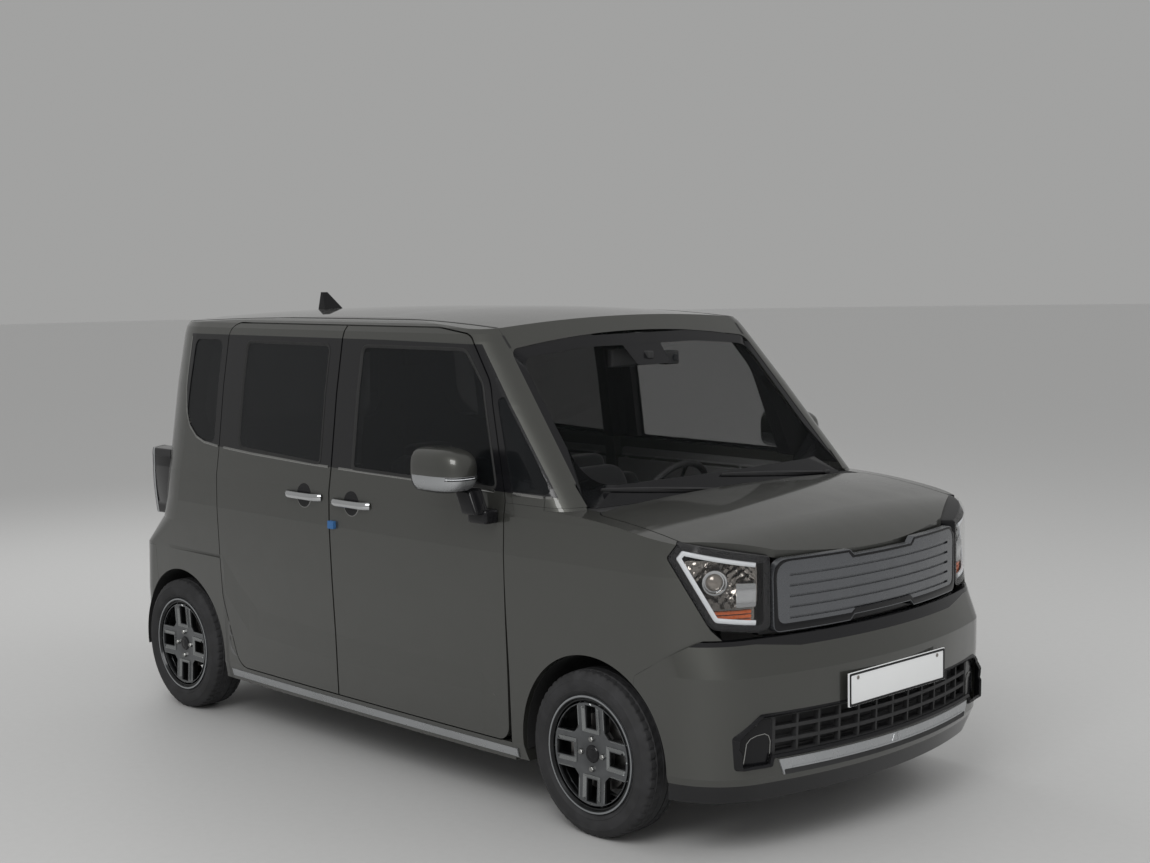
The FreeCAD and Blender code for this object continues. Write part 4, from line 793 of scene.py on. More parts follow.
class CAR_OT_tyres(bpy.types.Operator):
    """Build the four tyres with grooves, sipes and sidewall ribs."""
    bl_idname = "kei_car.tyres"
    bl_label = "Tyres"

    def execute(self, context):
        settings = context.scene.kei_wheels
        outer, steps = settings.tyre_radius, settings.segments
        wall = ((0.0665, 0.1795), (0.0672, 0.1975), (0.0735, 0.2030), (0.0790, 0.2110), (0.0800, 0.2125),
                (0.0788, 0.2140), (0.0812, 0.2230), (0.0822, 0.2350), (0.0806, 0.2460), (0.0812, 0.2470),
                (0.0795, 0.2490), (0.0740, 0.2600), (0.0690, 0.2675))
        tread = (0.0640, 0.0600, 0.0530, 0.0460, 0.0455, 0.0405, 0.0400, 0.0330, 0.0250, 0.0180, 0.0175,
                 0.0125, 0.0120, 0.0060)
        half = [(a, r, False) for a, r in wall]
        half += [(a, outer - 0.0035 * (a / 0.064) ** 4, True) for a in tread]
        profile = half + [(0.0, outer, True)] + [(-a, r, t) for a, r, t in reversed(half)]
        for end, x in ENDS:
            for tag, side in SIDES:
                bm = bmesh.new()
                rows = []
                for k in range(steps):
                    turn = 2 * math.pi * k / steps
                    row = []
                    for a, r, is_tread in profile:
                        reach = r - (self.tread_cut(a, k, settings.groove_depth) if is_tread else 0.0)
                        row.append(Vector((x + reach * math.cos(turn), side * (WHEEL_Y + a),
                                           WHEEL_Z + reach * math.sin(turn))))
                    rows.append(row)
                strip(bm, rows + [rows[0]], True)
                name = "tyre_%s_%s" % (end, tag)
                piece(name + "_rubber", bm, ["rubber"], "wheel_%s_%s" % (end, tag), [name], 30.0)
        return {"FINISHED"}

    def tread_cut(self, a, k, depth):
        """Depth of the tread at a across and step k round: full grooves, and shallower sipes."""
        lateral = abs(a)
        if any(near < lateral < far for near, far in GROOVES):
            return depth
        shoulder = lateral >= 0.0460 and k % 4 == 0
        middle = 0.018 < lateral < 0.040 and (k + (2 if a > 0 else 0)) % 4 == 0
        return depth * 0.8 if shoulder or middle else 0.0


class CAR_OT_wheels(bpy.types.Operator):
    """Add each wheel's spoke frames, nuts, centre cap and valve."""
    bl_idname = "kei_car.wheels"
    bl_label = "Wheel fittings"

    def execute(self, context):
        face = 0.058
        nut_circle = 0.050
        cap = ((face - 0.004, 0.0001), (face - 0.004, 0.030), (face + 0.003, 0.030), (face + 0.006, 0.027),
               (face + 0.0065, 0.020), (face + 0.0055, 0.018), (face + 0.0072, 0.010),
               (face + 0.0074, 0.0001))
        nut = ((face - 0.006, 0.0001), (face - 0.006, 0.0135), (face + 0.001, 0.0125), (face + 0.001, 0.0105),
               (face + 0.010, 0.0100), (face + 0.0125, 0.0075), (face + 0.0128, 0.0001))
        for end, x in ENDS:
            for tag, side in SIDES:
                bm = bmesh.new()
                axes = (ALONG_Y * side, ALONG_X, ALONG_Z)
                centre = Vector((x, side * WHEEL_Y, WHEEL_Z))
                tree = skin("rim_%s_%s" % (end, tag))
                turns = [k * math.pi / 2 for k in range(4)]
                spin(bm, centre, axes, cap, 40, 1)
                for turn in turns:
                    out = Vector((math.cos(turn), 0.0, math.sin(turn)))
                    spin(bm, centre + out * nut_circle, axes, nut, 6, 0)
                for turn in turns:
                    self.spoke_frame(bm, x, turn, from_side(side), tree)
                valve = [(x + a, side * (WHEEL_Y + b), WHEEL_Z + 0.028)
                         for a, b in ((0.150, 0.052), (0.147, 0.066), (0.146, 0.072))]
                sweep(bm, valve, [0.0045, 0.0035, 0.003], 8, 1)
                piece("wheel_fittings_%s_%s" % (end, tag), bm, ["dull_chrome", "gloss_black", "machined"],
                      "wheel_%s_%s" % (end, tag), (), 15.0)
        return {"FINISHED"}

    def spoke_frame(self, bm, x, turn, ray, tree):
        """Bevelled frame round a spoke's slot, and a fine line along both of the spoke's edges."""
        outer, inner = [outline([(*self.spot(x, turn, a, r), corner)
                                 for a, r, corner in oblong(-half, half, low, high, 0.004)], 3, 6)
                        for half, low, high in ((0.041, 0.070, 0.171), (0.0255, 0.082, 0.1625))]
        moulding(bm, outer, inner, ray, tree,
                 ((0.0, -0.001), (0.06, 0.0034), (0.16, 0.0036), (0.9, -0.0002), (1.0, -0.004)), 2)
        for edge in (-0.0585, 0.0585):
            line = [self.spot(x, turn, *place) for place in between((edge, 0.088), (edge, 0.165), 7)]
            stroke(bm, line, 0.0045, ray, tree, bead(0.0012, 0.3), 2)

    def spot(self, x, turn, across, out):
        """Place on a wheel face, in side view, from a spoke's own two directions."""
        return (x + across * math.cos(turn) + out * math.sin(turn),
                WHEEL_Z - across * math.sin(turn) + out * math.cos(turn))


class CAR_OT_headlights(bpy.types.Operator):
    """Build both headlights: housing, bowl, light guide, amber strips, barrel and lens."""
    bl_idname = "kei_car.headlights"
    bl_label = "Headlights"

    def execute(self, context):
        tree = skin("headlights")
        edge = grown(HEADLIGHT, -0.0015)
        rims = [outline(grown(edge, -step)) for step in (0.0, 0.022)]
        for tag, side in SIDES:
            ray = from_lamp(side)
            bm = bmesh.new()
            self.housing(bm, ray, tree, edge, rims)
            self.bowl(bm, ray, tree)
            self.reflectors(bm, ray, tree)
            piece("headlight_inside_" + tag, bm, ["gloss_black", "guide", "bowl", "amber", "chrome"], "body")
            bm = bmesh.new()
            self.barrel(bm, ray, tree)
            piece("headlight_barrel_" + tag, bm, ["chrome", "barrel_glass"], "body")
            bm = bmesh.new()
            plate_patch(bm, rims[0], ray, tree, 0.0015, 0.0025, 0.02, 0, None, 1.0)
            lens = piece("headlight_lens_" + tag, bm, ["lens"], "body")
            if side > 0:
                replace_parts(lens, "headlights")
        return {"FINISHED"}

    def housing(self, bm, ray, tree, edge, rims):
        """Black rim, the light guide that runs round three sides, and the back wall."""
        moulding(bm, rims[0], rims[1], ray, tree, ((0.0, -0.080), (0.0, -0.001), (0.06, 0.0), (1.0, -0.003),
                                                   (1.0, -0.008), (0.1, -0.012), (0.06, -0.080)), 0, 1.0)
        guide = outline(grown(edge, -0.030), 6, 16)
        start = min(range(len(guide)), key=lambda i: (guide[i] - Vector((0.040, 0.925))).length)
        guide = guide[start:] + guide[:start]
        low = min(range(len(guide)), key=lambda i: (guide[i] - Vector((0.050, 0.750))).length)
        guide = guide[low:] if len(guide) - low > low else guide[:low + 1]
        stroke(bm, guide, 0.015, ray, tree, ((0.0, -0.012), (0.0, -0.006), (0.3, -0.004), (0.7, -0.004),
                                             (1.0, -0.006), (1.0, -0.012)), 1)
        plate_patch(bm, outline(grown(edge, -0.004)), ray, tree, -0.074, 0.004, 0.05, 0, None, 1.0)

    def bowl(self, bm, ray, tree):
        """Faceted hollow behind the barrel, with a thin wall round it."""
        ring = outline(((0.048, 0.800, 0.030), (0.048, 0.940, 0.030), (0.285, 0.952, 0.030),
                        (0.236, 0.800, 0.040)))
        wall = outline(((0.044, 0.796, 0.030), (0.044, 0.944, 0.030), (0.292, 0.956, 0.030),
                        (0.240, 0.796, 0.040)))

        def hollow(a, b):
            far = math.hypot((a - 0.150) / 0.105, (b - 0.875) / 0.075)
            facets = 0.0042 * math.sin(a * 190.0) * math.sin(b * 210.0)
            return -0.048 * max(0.0, 1.0 - far * far) + facets
        plate_patch(bm, ring, ray, tree, -0.016, 0.056, 0.0075, 2, hollow, 1.0)
        moulding(bm, wall, ring, ray, tree, ((0.0, -0.050), (0.0, -0.012), (1.0, -0.014), (1.0, -0.050)), 2,
                 1.0)

    def reflectors(self, bm, ray, tree):
        """Three amber strips, a bright block beside the barrel and the floor under them."""
        for k in range(3):
            z = 0.752 + k * 0.0145
            bar = outline(((0.062, z, 0.003), (0.062, z + 0.010, 0.003),
                           (0.200 + k * 0.008, z + 0.010, 0.003), (0.194 + k * 0.008, z, 0.003)), 3, 10)
            plate_patch(bm, bar, ray, tree, -0.020, 0.016, 0.02, 3, lambda a, b: 0.0015 * math.sin(a * 700.0),
                        1.0)
        bright = outline(((0.048, 0.802, 0.004), (0.048, 0.874, 0.004), (0.112, 0.878, 0.006),
                          (0.112, 0.802, 0.004)))
        plate_patch(bm, bright, ray, tree, -0.010, 0.012, 0.008, 4,
                    lambda a, b: -0.0025 * math.sin((b - 0.802) * 90.0) - 0.05 * (a - 0.08))
        lower = outline(((0.046, 0.742, 0.004), (0.046, 0.797, 0.004), (0.236, 0.797, 0.004),
                         (0.200, 0.742, 0.02)))
        plate_patch(bm, lower, ray, tree, -0.034, 0.003, 0.015, 2, None, 1.0)

    def barrel(self, bm, ray, tree):
        """Chrome ring and glass dome on the bowl's floor."""
        way = ray(0.0, 0.0)[1]
        axes = (-way, way.cross(ALONG_Z).normalized(), ALONG_Z)
        seat = cast(ray, tree, 0.178, 0.880, -0.056, 1.0)
        ring = ((0.0, 0.0001), (0.0, 0.040), (0.026, 0.041), (0.029, 0.039), (0.028, 0.034), (0.016, 0.031),
                (0.014, 0.0001))
        dome = ((0.012, 0.0001), (0.012, 0.029), (0.020, 0.026), (0.027, 0.017), (0.030, 0.0001))
        spin(bm, seat, axes, ring, 40, 0)
        spin(bm, seat, axes, dome, 40, 1)


class CAR_OT_front_panel(bpy.types.Operator):
    """Lay the black surround on the closed front panel."""
    bl_idname = "kei_car.front_panel"
    bl_label = "Front panel"

    def execute(self, context):
        outer = outline(grown(both_halves(PANEL), -0.003), 6, 16)
        inner = outline(both_halves(PANEL_FACE), 6, 16)
        bm = bmesh.new()
        moulding(bm, outer, inner, from_front, skin("front_panel"),
                 ((0.0, -0.004), (0.0, 0.0010), (0.15, 0.0016), (0.85, 0.0016), (1.0, 0.0005), (1.0, -0.004)))
        piece("front_panel_surround", bm, ["gloss_black"], "body")
        return {"FINISHED"}


class CAR_OT_side_trim(bpy.types.Operator):
    """Lay the bright belt line and the window seals on both sides, and the fuel flap's line on the left."""
    bl_idname = "kei_car.side_trim"
    bl_label = "Side trim"

    def execute(self, context):
        for tag, side in SIDES:
            self.belt(tag, from_side(side))
            if side > 0:
                self.flap(from_side(side))
            self.seals(tag, from_side(side))
        return {"FINISHED"}

    def belt(self, tag, ray):
        """Bright line under the windows, cut where it crosses from one panel to the next."""
        line = ((0.0, -0.003), (0.0, 0.001), (0.3, 0.0025), (0.7, 0.0025), (1.0, 0.001), (1.0, -0.003))
        side, fender = "body_side_" + tag, "front_fender_" + tag
        front_door, rear_door = "door_front_" + tag, "door_rear_" + tag
        for body, nodes, label, first, last in (("body", (side, fender), "fender", 0.962, 0.757),
                                                (front_door, (front_door,), "front_door", 0.742, -0.238),
                                                (rear_door, (rear_door,), "rear_door", -0.254, -1.046),
                                                ("body", (side,), "quarter", -1.058, None)):
            bm = bmesh.new()
            stroke(bm, belt_path(first, last), 0.009, ray, skin(*nodes), line)
            piece("belt_line_%s_%s" % (label, tag), bm, ["dull_chrome"], carrier(body))

    def flap(self, ray):
        ring = oblong(-1.215, -1.355, 0.805, 0.945, 0.02)
        bm = bmesh.new()
        moulding(bm, outline(ring), outline(grown(ring, -0.003)), ray, skin("body_side_left"),
                 bead(0.0004, 0.0))
        piece("fuel_flap_line", bm, ["seal"], "body")

    def seals(self, tag, ray):
        """Rubber frame round each door window."""
        for end in ("front", "rear"):
            name = "door_%s_%s" % (end, tag)
            ring = WINDOWS["door_" + end]
            tree = skin(name, "door_glass_%s_%s" % (end, tag))
            bm = bmesh.new()
            moulding(bm, outline(grown(ring, 0.004)), outline(grown(ring, -0.009)), ray, tree,
                     ((0.0, -0.001), (0.0, 0.001), (0.25, 0.0025), (0.75, 0.002), (1.0, 0.0005),
                      (1.0, -0.002)))
            piece("window_seal_%s_%s" % (end, tag), bm, ["seal"], carrier(name))


def belt_path(first, last):
    """The part of the belt line from x first to x last, or to its end."""
    points = []
    for start, end in zip(BELT, BELT[1:]):
        points += between(start, end, 6)[:-1]
    points.append(BELT[-1])
    return [p for p in points if p[0] <= first and (last is None or p[0] >= last)]


class CAR_OT_mirrors(bpy.types.Operator):
    """Build the door mirrors: painted cap, silver band, indicator, black foot and glass."""
    bl_idname = "kei_car.mirrors"
    bl_label = "Door mirrors"

    def execute(self, context):
        cap_foot, band_foot, band_back = 1.170, 1.122, 0.508
        for tag, side in SIDES:
            bm = bmesh.new()
            pad(bm, (0.566, side * 0.9085, 1.186), (0.148, 0.0755, 0.078), 0.66, 40, 64, 2,
                lambda p: (max(p.x, 0.4945), p.y, p.z))
            for face in bm.faces:
                x, _, z = face.calc_center_median()
                if z > cap_foot:
                    face.material_index = 0
                elif z > band_foot and x > band_back:
                    face.material_index = 1
            tree = BVHTree.FromBMesh(bm)
            slot = between((side * 0.868, 1.164), (side * 0.974, 1.164), 20)
            stroke(bm, slot, 0.013, from_front, tree, bead(0.0010, 0.1, -0.002), 2)
            stroke(bm, slot[2:], 0.004, from_front, tree, bead(0.0018, 0.2, 0.0), 4)
            glass = outline([(side * 0.845, 1.122, 0.030), (side * 0.843, 1.250, 0.030),
                             (side * 0.972, 1.246, 0.045), (side * 0.970, 1.128, 0.035)])
            plate_patch(bm, glass, from_rear, tree, 0.0008, 0.002, 0.05, 3)
            low, high = span_box(side, (0.626, 0.724), (0.786, 0.848), (1.003, 1.052))
            block(bm, low, high, 0.012, 2)
            low, high = span_box(side, (0.634, 0.716), (0.818, 0.880), (1.036, 1.122))
            block(bm, low, high, 0.012, 2, lambda p: (p.x - 0.46 * (p.z - 1.036), p.y, p.z))
            name = "door_mirror_" + tag
            piece(name + "_shell", bm, ["paint", "silver", "gloss_black", "mirror", "guide"],
                  "door_front_" + tag, [name], 40.0)
        return {"FINISHED"}


class CAR_OT_handles(bpy.types.Operator):
    """Build the chrome door handles over their cups, and the foam guard on the right front door."""
    bl_idname = "kei_car.handles"
    bl_label = "Door handles"

    def execute(self, context):
        for tag, side in SIDES:
            for end, x, z in (("front", -0.106, 0.997), ("rear", -0.413, 1.003)):
                self.handle("%s_%s" % (end, tag), x, z, from_side(side))
        self.guard()
        return {"FINISHED"}

    def handle(self, place, x, z, ray):
        """Grip that bows out from the door, the round cup behind it and the cup's lower rim."""
        door, node = "door_" + place, "door_handle_" + place
        tree = skin(door)
        bm = bmesh.new()
        shares = [k / 16 - 1.0 for k in range(33)]
        grip = [cast(ray, tree, x + 0.112 * t, z, 0.0205 * (1.0 - abs(t) ** 7)) for t in shares]
        sweep(bm, grip, [0.0082 + 0.0006 * abs(t) for t in shares], 14, 0, 1.65)
        plate_patch(bm, circle(x, z, 0.047), ray, tree, 0.0006, 0.003, 0.02, 1)
        rim = [(x + 0.046 * math.cos(t), z + 0.046 * math.sin(t))
               for t in [math.radians(200 + 7 * k) for k in range(21)]]
        stroke(bm, rim, 0.006, ray, tree, bead(0.0014, 0.3), 2)
        piece(node + "_grip", bm, ["chrome", "gloss_black", "dull_chrome"], carrier(door), [node],
              40.0)

    def guard(self):
        """Foam block on the right front door's edge."""
        bm = bmesh.new()
        ring = outline(((-0.2436, 0.893, 0.003), (-0.2436, 0.922, 0.003), (-0.206, 0.922, 0.004),
                        (-0.206, 0.893, 0.004)))
        plate_patch(bm, ring, from_side(-1.0), skin("door_front_right"), 0.012, 0.013, 0.01, 0)
        piece("door_guard", bm, ["foam"], "door_front_right")


class CAR_OT_screen(bpy.types.Operator):
    """Add the windscreen's black border, the inside mirror with its camera, and the wipers."""
    bl_idname = "kei_car.screen"
    bl_label = "Windscreen and wipers"

    def execute(self, context):
        tree = skin("windscreen")
        self.border(tree)
        self.inside_mirror()
        self.wipers(tree)
        return {"FINISHED"}

    def border(self, tree):
        bm = bmesh.new()
        outer, inner = [outline(both_halves(ring), 6, 14) for ring in (SCREEN, SCREEN_CLEAR)]
        moulding(bm, outer, inner, from_front, tree, bead(0.0008, 0.0, -0.0015), 0, 2.5)
        patch = outline(((0.085, 1.500, 0.020), (0.105, 1.605, 0.020), (-0.105, 1.605, 0.020),
                         (-0.085, 1.500, 0.020)))
        plate_patch(bm, patch, from_front, tree, 0.0004, 0.0008, 0.04, 0)
        piece("windscreen_border", bm, ["gloss_black"], "body")

    def inside_mirror(self):
        bm = bmesh.new()
        block(bm, (0.576, -0.120, 1.490), (0.605, 0.120, 1.556), 0.012, 0, None, 2)
        block(bm, (0.590, 0.128, 1.488), (0.640, 0.205, 1.540), 0.012, 0)
        block(bm, (0.600, -0.014, 1.520), (0.690, 0.014, 1.548), 0.006, 0)
        lens = ((0.0, 0.0001), (0.0, 0.013), (0.008, 0.012), (0.010, 0.009), (0.007, 0.0075), (0.009, 0.0001))
        spin(bm, Vector((0.639, 0.176, 1.514)), (ALONG_X, ALONG_Y, ALONG_Z), lens, 24, 1)
        glass = outline(oblong(0.110, -0.110, 1.498, 1.548, 0.014))
        plate_patch(bm, glass, from_rear, BVHTree.FromBMesh(bm), 0.0006, 0.002, 0.06, 2)
        piece("inside_mirror_and_camera", bm, ["cabin_black", "display", "mirror"], "body",
              ["interior_mirror"])

    def wipers(self, tree):
        bm = bmesh.new()
        for inner, outer in ((-0.035, 0.560), (-0.600, -0.060)):
            span = outer - inner - 0.030
            tip = inner + 0.012
            blade = [cast(from_front, tree, *place, 0.0085)
                     for place in between((tip, 1.120), (tip + span, 1.076), 20)]
            sweep(bm, blade, [0.0025 + 0.0022 * math.sin(math.pi * k / 20) for k in range(21)], 8, 0, 2.0)
            lip = [p + Vector((-0.004, 0.0, -0.001)) for p in blade]
            sweep(bm, lip, 0.0016, 6, 1)
            arm = [cast(from_front, tree, outer - 0.012 - span * 0.52 * t, 1.0775 + 0.0235 * t,
                        0.0150 - 0.002 * t)
                   for t in [k / 16 for k in range(17)]]
            sweep(bm, arm, [0.0055 - 0.0025 * k / 16 for k in range(17)], 8, 0, 0.8)
            pad(bm, arm[0], (0.010, 0.015, 0.008), 0.7, 8, 16, 0)
        piece("wiper_arms", bm, ["matt_black", "seal"], "body", ["wipers"])


class CAR_OT_front_trim(bpy.types.Operator):
    """Frame the blank plate, and dress the lower intake and the skid plate."""
    bl_idname = "kei_car.front_trim"
    bl_label = "Front trim"

    def execute(self, context):
        self.plate()
        self.intake_backing()
        self.intake_frame()
        self.skid()
        return {"FINISHED"}

    def plate(self):
        bm = bmesh.new()
        z = 0.506
        face = 1.7972
        block(bm, (1.7885, -0.2595, z - 0.0545), (1.7958, 0.2595, z + 0.0545), 0.0012, 2)
        rings = [outline(oblong(w, -w, z - h, z + h, r), 4, 12)
                 for w, h, r in ((0.2585, 0.0535, 0.006), (0.2500, 0.0460, 0.004))]
        moulding(bm, rings[0], rings[1], from_front, skin("front_plate"),
                 ((0.0, -0.008), (0.0, -0.0008), (0.2, -0.0002), (0.8, -0.0002), (1.0, -0.0012),
                  (1.0, -0.003)), 1)
        screw = ((0.0, 0.0001), (0.0, 0.006), (-0.001, 0.0065), (-0.004, 0.0065))
        for y in (-0.215, 0.215):
            spin(bm, Vector((face, y, z + 0.036)), (ALONG_X, ALONG_Y, ALONG_Z), screw, 16, 0)
        piece("blank_plate", bm, ["steel", "gloss_black", "plate"], "body", ["front_plate"])

    def intake_backing(self):
        """Bowed dark wall with five ribs behind the mesh."""
        bm = bmesh.new()
        low, high, thick = 0.285, 0.478, 0.002
        rows = []
        for k in range(25):
            y = 0.05 * (k - 12)
            x = 1.728 - 0.23 * y * y
            rows.append([Vector((a, y, b)) for a, b in ((x, low), (x, high), (x - thick, high),
                                                        (x - thick, low))])
        strip(bm, rows, True)
        for k in range(5):
            rib = [Vector((row[0].x + 0.004, row[0].y, 0.310 + 0.035 * k)) for row in rows]
            sweep(bm, rib, 0.004, 6)
        piece("intake_backing", bm, ["matt_black"], "body")

    def intake_frame(self):
        """Black frame round the mouth, with a cheek and a bright arch at each end."""
        bm = bmesh.new()
        grille = skin("lower_grille", "front_bumper")
        outer, inner = [outline(grown(both_halves(INTAKE), step), 5, 10) for step in (0.002, -0.010)]
        moulding(bm, outer, inner, from_front, skin("front_bumper"),
                 ((0.0, -0.004), (0.0, 0.0010), (0.4, 0.0016), (1.0, -0.004), (1.0, -0.012)))
        for side in (1.0, -1.0):
            face = outline(on_side(((0.538, 0.308, 0.006), (0.643, 0.308, 0.010), (0.648, 0.400, 0.016),
                                    (0.570, 0.452, 0.020), (0.524, 0.452, 0.006),
                                    (0.524, 0.335, 0.004)), side))
            plate_patch(bm, face, from_front, grille, 0.0015, 0.004, 0.03, 0)
            arch = [(0.536, 0.312), (0.533, 0.345), (0.532, 0.380), (0.538, 0.398), (0.552, 0.406),
                    (0.580, 0.403), (0.600, 0.395), (0.611, 0.380), (0.615, 0.345), (0.619, 0.312)]
            stroke(bm, [(side * a, b) for a, b in arch], 0.0045, from_front, grille, bead(0.0034, 0.2), 1)
        piece("intake_frame", bm, ["gloss_black", "dull_chrome"], "body")

    def skid(self):
        bm = bmesh.new()
        tree = skin("front_skid_plate")
        rib = bead(0.0022, 0.15)
        stroke(bm, between((-0.46, 0.289), (0.46, 0.289), 46), 0.007, from_front, tree, rib, 0)
        for side in (-1.0, 1.0):
            stroke(bm, [(side * 0.018, 0.291), (side * 0.008, 0.314)], 0.010, from_front, tree, rib, 0)
        lip = outline(both_halves(((0.486, 0.2685, 0.002), (0.490, 0.285, 0.004))), 3, 24)
        plate_patch(bm, lip, from_front, tree, 0.0010, 0.002, 0.04, 1)
        piece("skid_ribs", bm, ["silver", "matt_black"], "body")


class CAR_OT_rear(bpy.types.Operator):
    """Build the tail lamps and dress the tailgate and the rear bumper."""
    bl_idname = "kei_car.rear"
    bl_label = "Tail lamps and tailgate"

    def execute(self, context):
        self.lamps()
        self.gate()
        self.wiper()
        self.bumper()
        return {"FINISHED"}

    def lamps(self):
        tree = skin("tail_lights")
        for tag, side in SIDES:
            bm = bmesh.new()
            edge = on_side(TAIL_LAMP, side)
            rings = [outline(grown(edge, -step)) for step in (0.001, 0.010, 0.018)]
            moulding(bm, rings[0], rings[1], from_rear, tree,
                     ((0.0, -0.150), (0.0, -0.001), (0.2, 0.0), (1.0, -0.0015), (1.0, -0.055)), 0)
            moulding(bm, rings[1], rings[2], from_rear, tree,
                     ((0.0, -0.004), (0.1, -0.0004), (0.9, -0.0004), (1.0, -0.003)), 1)
            moulding(bm, outline(grown(edge, -0.0002)), rings[0], from_rear, tree, bead(-0.005, 0.0, -0.018),
                     1)
            plate_patch(bm, rings[1], from_rear, tree, -0.030, 0.004, 0.02, 0)
            plate_patch(bm, outline(grown(edge, -0.024)), from_rear, tree, -0.014, 0.003, 0.008, 2,
                        lambda a, b: 0.0010 * math.sin(a * 500.0) * math.sin(b * 500.0))
            plate_patch(bm, rings[2], from_rear, tree, -0.002, 0.0022, 0.02, 3)
            lamp = piece("tail_lamp_" + tag, bm, ["gloss_black", "silver", "red_glow", "red_lens"], "body")
            if side > 0:
                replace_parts(lamp, "tail_lights")

    def gate(self):
        """Window border, handle bar, plate recess and high stop lamp."""
        tree = skin("tailgate")
        bm = bmesh.new()
        window = both_halves(REAR_WINDOW)
        moulding(bm, outline(grown(window, -0.001), 6, 12), outline(grown(window, -0.034), 6, 12), from_rear,
                 skin("tailgate_glass"), bead(0.0008, 0.0), 0)
        bar = outline(oblong(0.300, -0.300, 0.985, 1.030, 0.010), 4, 12)
        plate_patch(bm, bar, from_rear, tree, 0.007, 0.010, (0.03, 0.009), 0,
                    lambda a, b: -0.005 * max(0.0, 1.0 - ((b - 0.990) / 0.010) ** 2))
        recess = [outline(oblong(w, -w, low, high, r), 4, 12)
                  for w, low, high, r in ((0.285, 0.845, 0.980, 0.012), (0.272, 0.857, 0.972, 0.008))]
        moulding(bm, recess[0], recess[1], from_rear, tree, bead(0.0020, 0.1), 1)
        plate_patch(bm, recess[1], from_rear, tree, 0.0006, 0.002, 0.05, 1)
        stop = outline(oblong(0.150, -0.150, 1.628, 1.640, 0.004), 3, 12)
        plate_patch(bm, stop, from_rear, tree, 0.003, 0.005, 0.03, 2)
        piece("tailgate_trim", bm, ["gloss_black", "matt_black", "red_lens"], "tailgate")

    def wiper(self):
        bm = bmesh.new()
        pane = skin("tailgate_glass", "tailgate")
        arm_line, blade_line = ((0.02, 1.160), (-0.28, 1.195)), ((-0.09, 1.176), (-0.41, 1.206))
        arm = [cast(from_rear, pane, *place, 0.012) for place in between(*arm_line, 16)]
        sweep(bm, arm, [0.008 - 0.004 * k / 16 for k in range(17)], 8, 0, 0.9)
        blade = [cast(from_rear, pane, *place, 0.006) for place in between(*blade_line, 16)]
        sweep(bm, blade, 0.0032, 8, 0, 1.6)
        pad(bm, arm[0], (0.012, 0.022, 0.020), 0.7, 10, 20, 0)
        piece("rear_wiper", bm, ["matt_black"], "tailgate")

    def bumper(self):
        """Black lower strip and two red reflectors."""
        tree = skin("rear_bumper")
        bm = bmesh.new()
        low = [(0.600, 0.215, 0.020), (0.640, 0.330, 0.030), (-0.640, 0.330, 0.030), (-0.600, 0.215, 0.020)]
        plate_patch(bm, outline(low, 5, 16), from_rear, tree, 0.0012, 0.004, 0.04, 0)
        for side in (1.0, -1.0):
            reflector = outline(on_side(((0.480, 0.392, 0.006), (0.640, 0.398, 0.006), (0.640, 0.424, 0.006),
                                         (0.480, 0.420, 0.006)), side), 3, 10)
            plate_patch(bm, reflector, from_rear, tree, 0.0012, 0.003, 0.02, 1)
        piece("rear_bumper_trim", bm, ["matt_black", "red_lens"], "body")


class CAR_OT_arches(bpy.types.Operator):
    """Line the wheel arches and lay the sill and roof strips."""
    bl_idname = "kei_car.arches"
    bl_label = "Arch liners, sill and roof strips"

    def execute(self, context):
        for end, x, radius, wall in (("front", FRONT_AXLE, 0.3272, 0.4575),
                                     ("rear", REAR_AXLE, 0.3222, 0.4620)):
            inner = radius - 0.0035
            lining = ((wall, radius, 0), (0.520, radius, 1), (0.600, radius - 0.0005, 0), (0.690, radius, 1),
                      (0.752, radius, 0), (0.752, radius - 0.0015, 0), (0.690, inner, 0), (0.600, inner, 0),
                      (0.520, inner, 0), (wall, radius - 0.0015, 0))
            cap = ((wall, radius - 0.001, 0), (wall, 0.177, 0), (wall - 0.0016, 0.177, 0),
                   (wall - 0.0016, radius - 0.001, 0))
            for tag, side in SIDES:
                bm = bmesh.new()
                self.arc(bm, x, side, lining)
                self.arc(bm, x, side, cap)
                piece("arch_liner_%s_%s" % (end, tag), bm, ["liner"], "body")
        for tag, side in SIDES:
            bm = bmesh.new()
            stroke(bm, between((0.770, 0.2105), (-1.020, 0.2105), 60), 0.032, from_side(side),
                   skin("body_side_" + tag), ((0.0, -0.002), (0.04, 0.0022), (0.5, 0.0030), (0.96, 0.0022),
                                              (1.0, -0.002)))
            piece("sill_strip_" + tag, bm, ["silver"], "body")
        roof = skin("roof_panel", "body_side_left", "body_side_right")
        bm = bmesh.new()
        for side in (1.0, -1.0):
            path = between((0.600, side * 0.6105), (-1.530, side * 0.6105), 60)
            stroke(bm, path, 0.014, from_above, roof, bead(0.0009, 0.15, -0.002))
        piece("roof_strips", bm, ["seal"], "body")
        return {"FINISHED"}

    def arc(self, bm, x, side, section):
        """Sweep (y, radius, share of the ripple) points over the wheel."""
        rows = []
        for k in range(49):
            turn = math.radians(-8.0 + 196.0 * k / 48)
            ripple = 0.0006 * math.cos(k * math.pi)
            centre = Vector((x, 0.0, WHEEL_Z))
            out = ALONG_X * math.cos(turn) + ALONG_Z * math.sin(turn)
            rows.append([centre + ALONG_Y * side * y + out * (r + share * ripple) for y, r, share in section])
        strip(bm, rows, True)


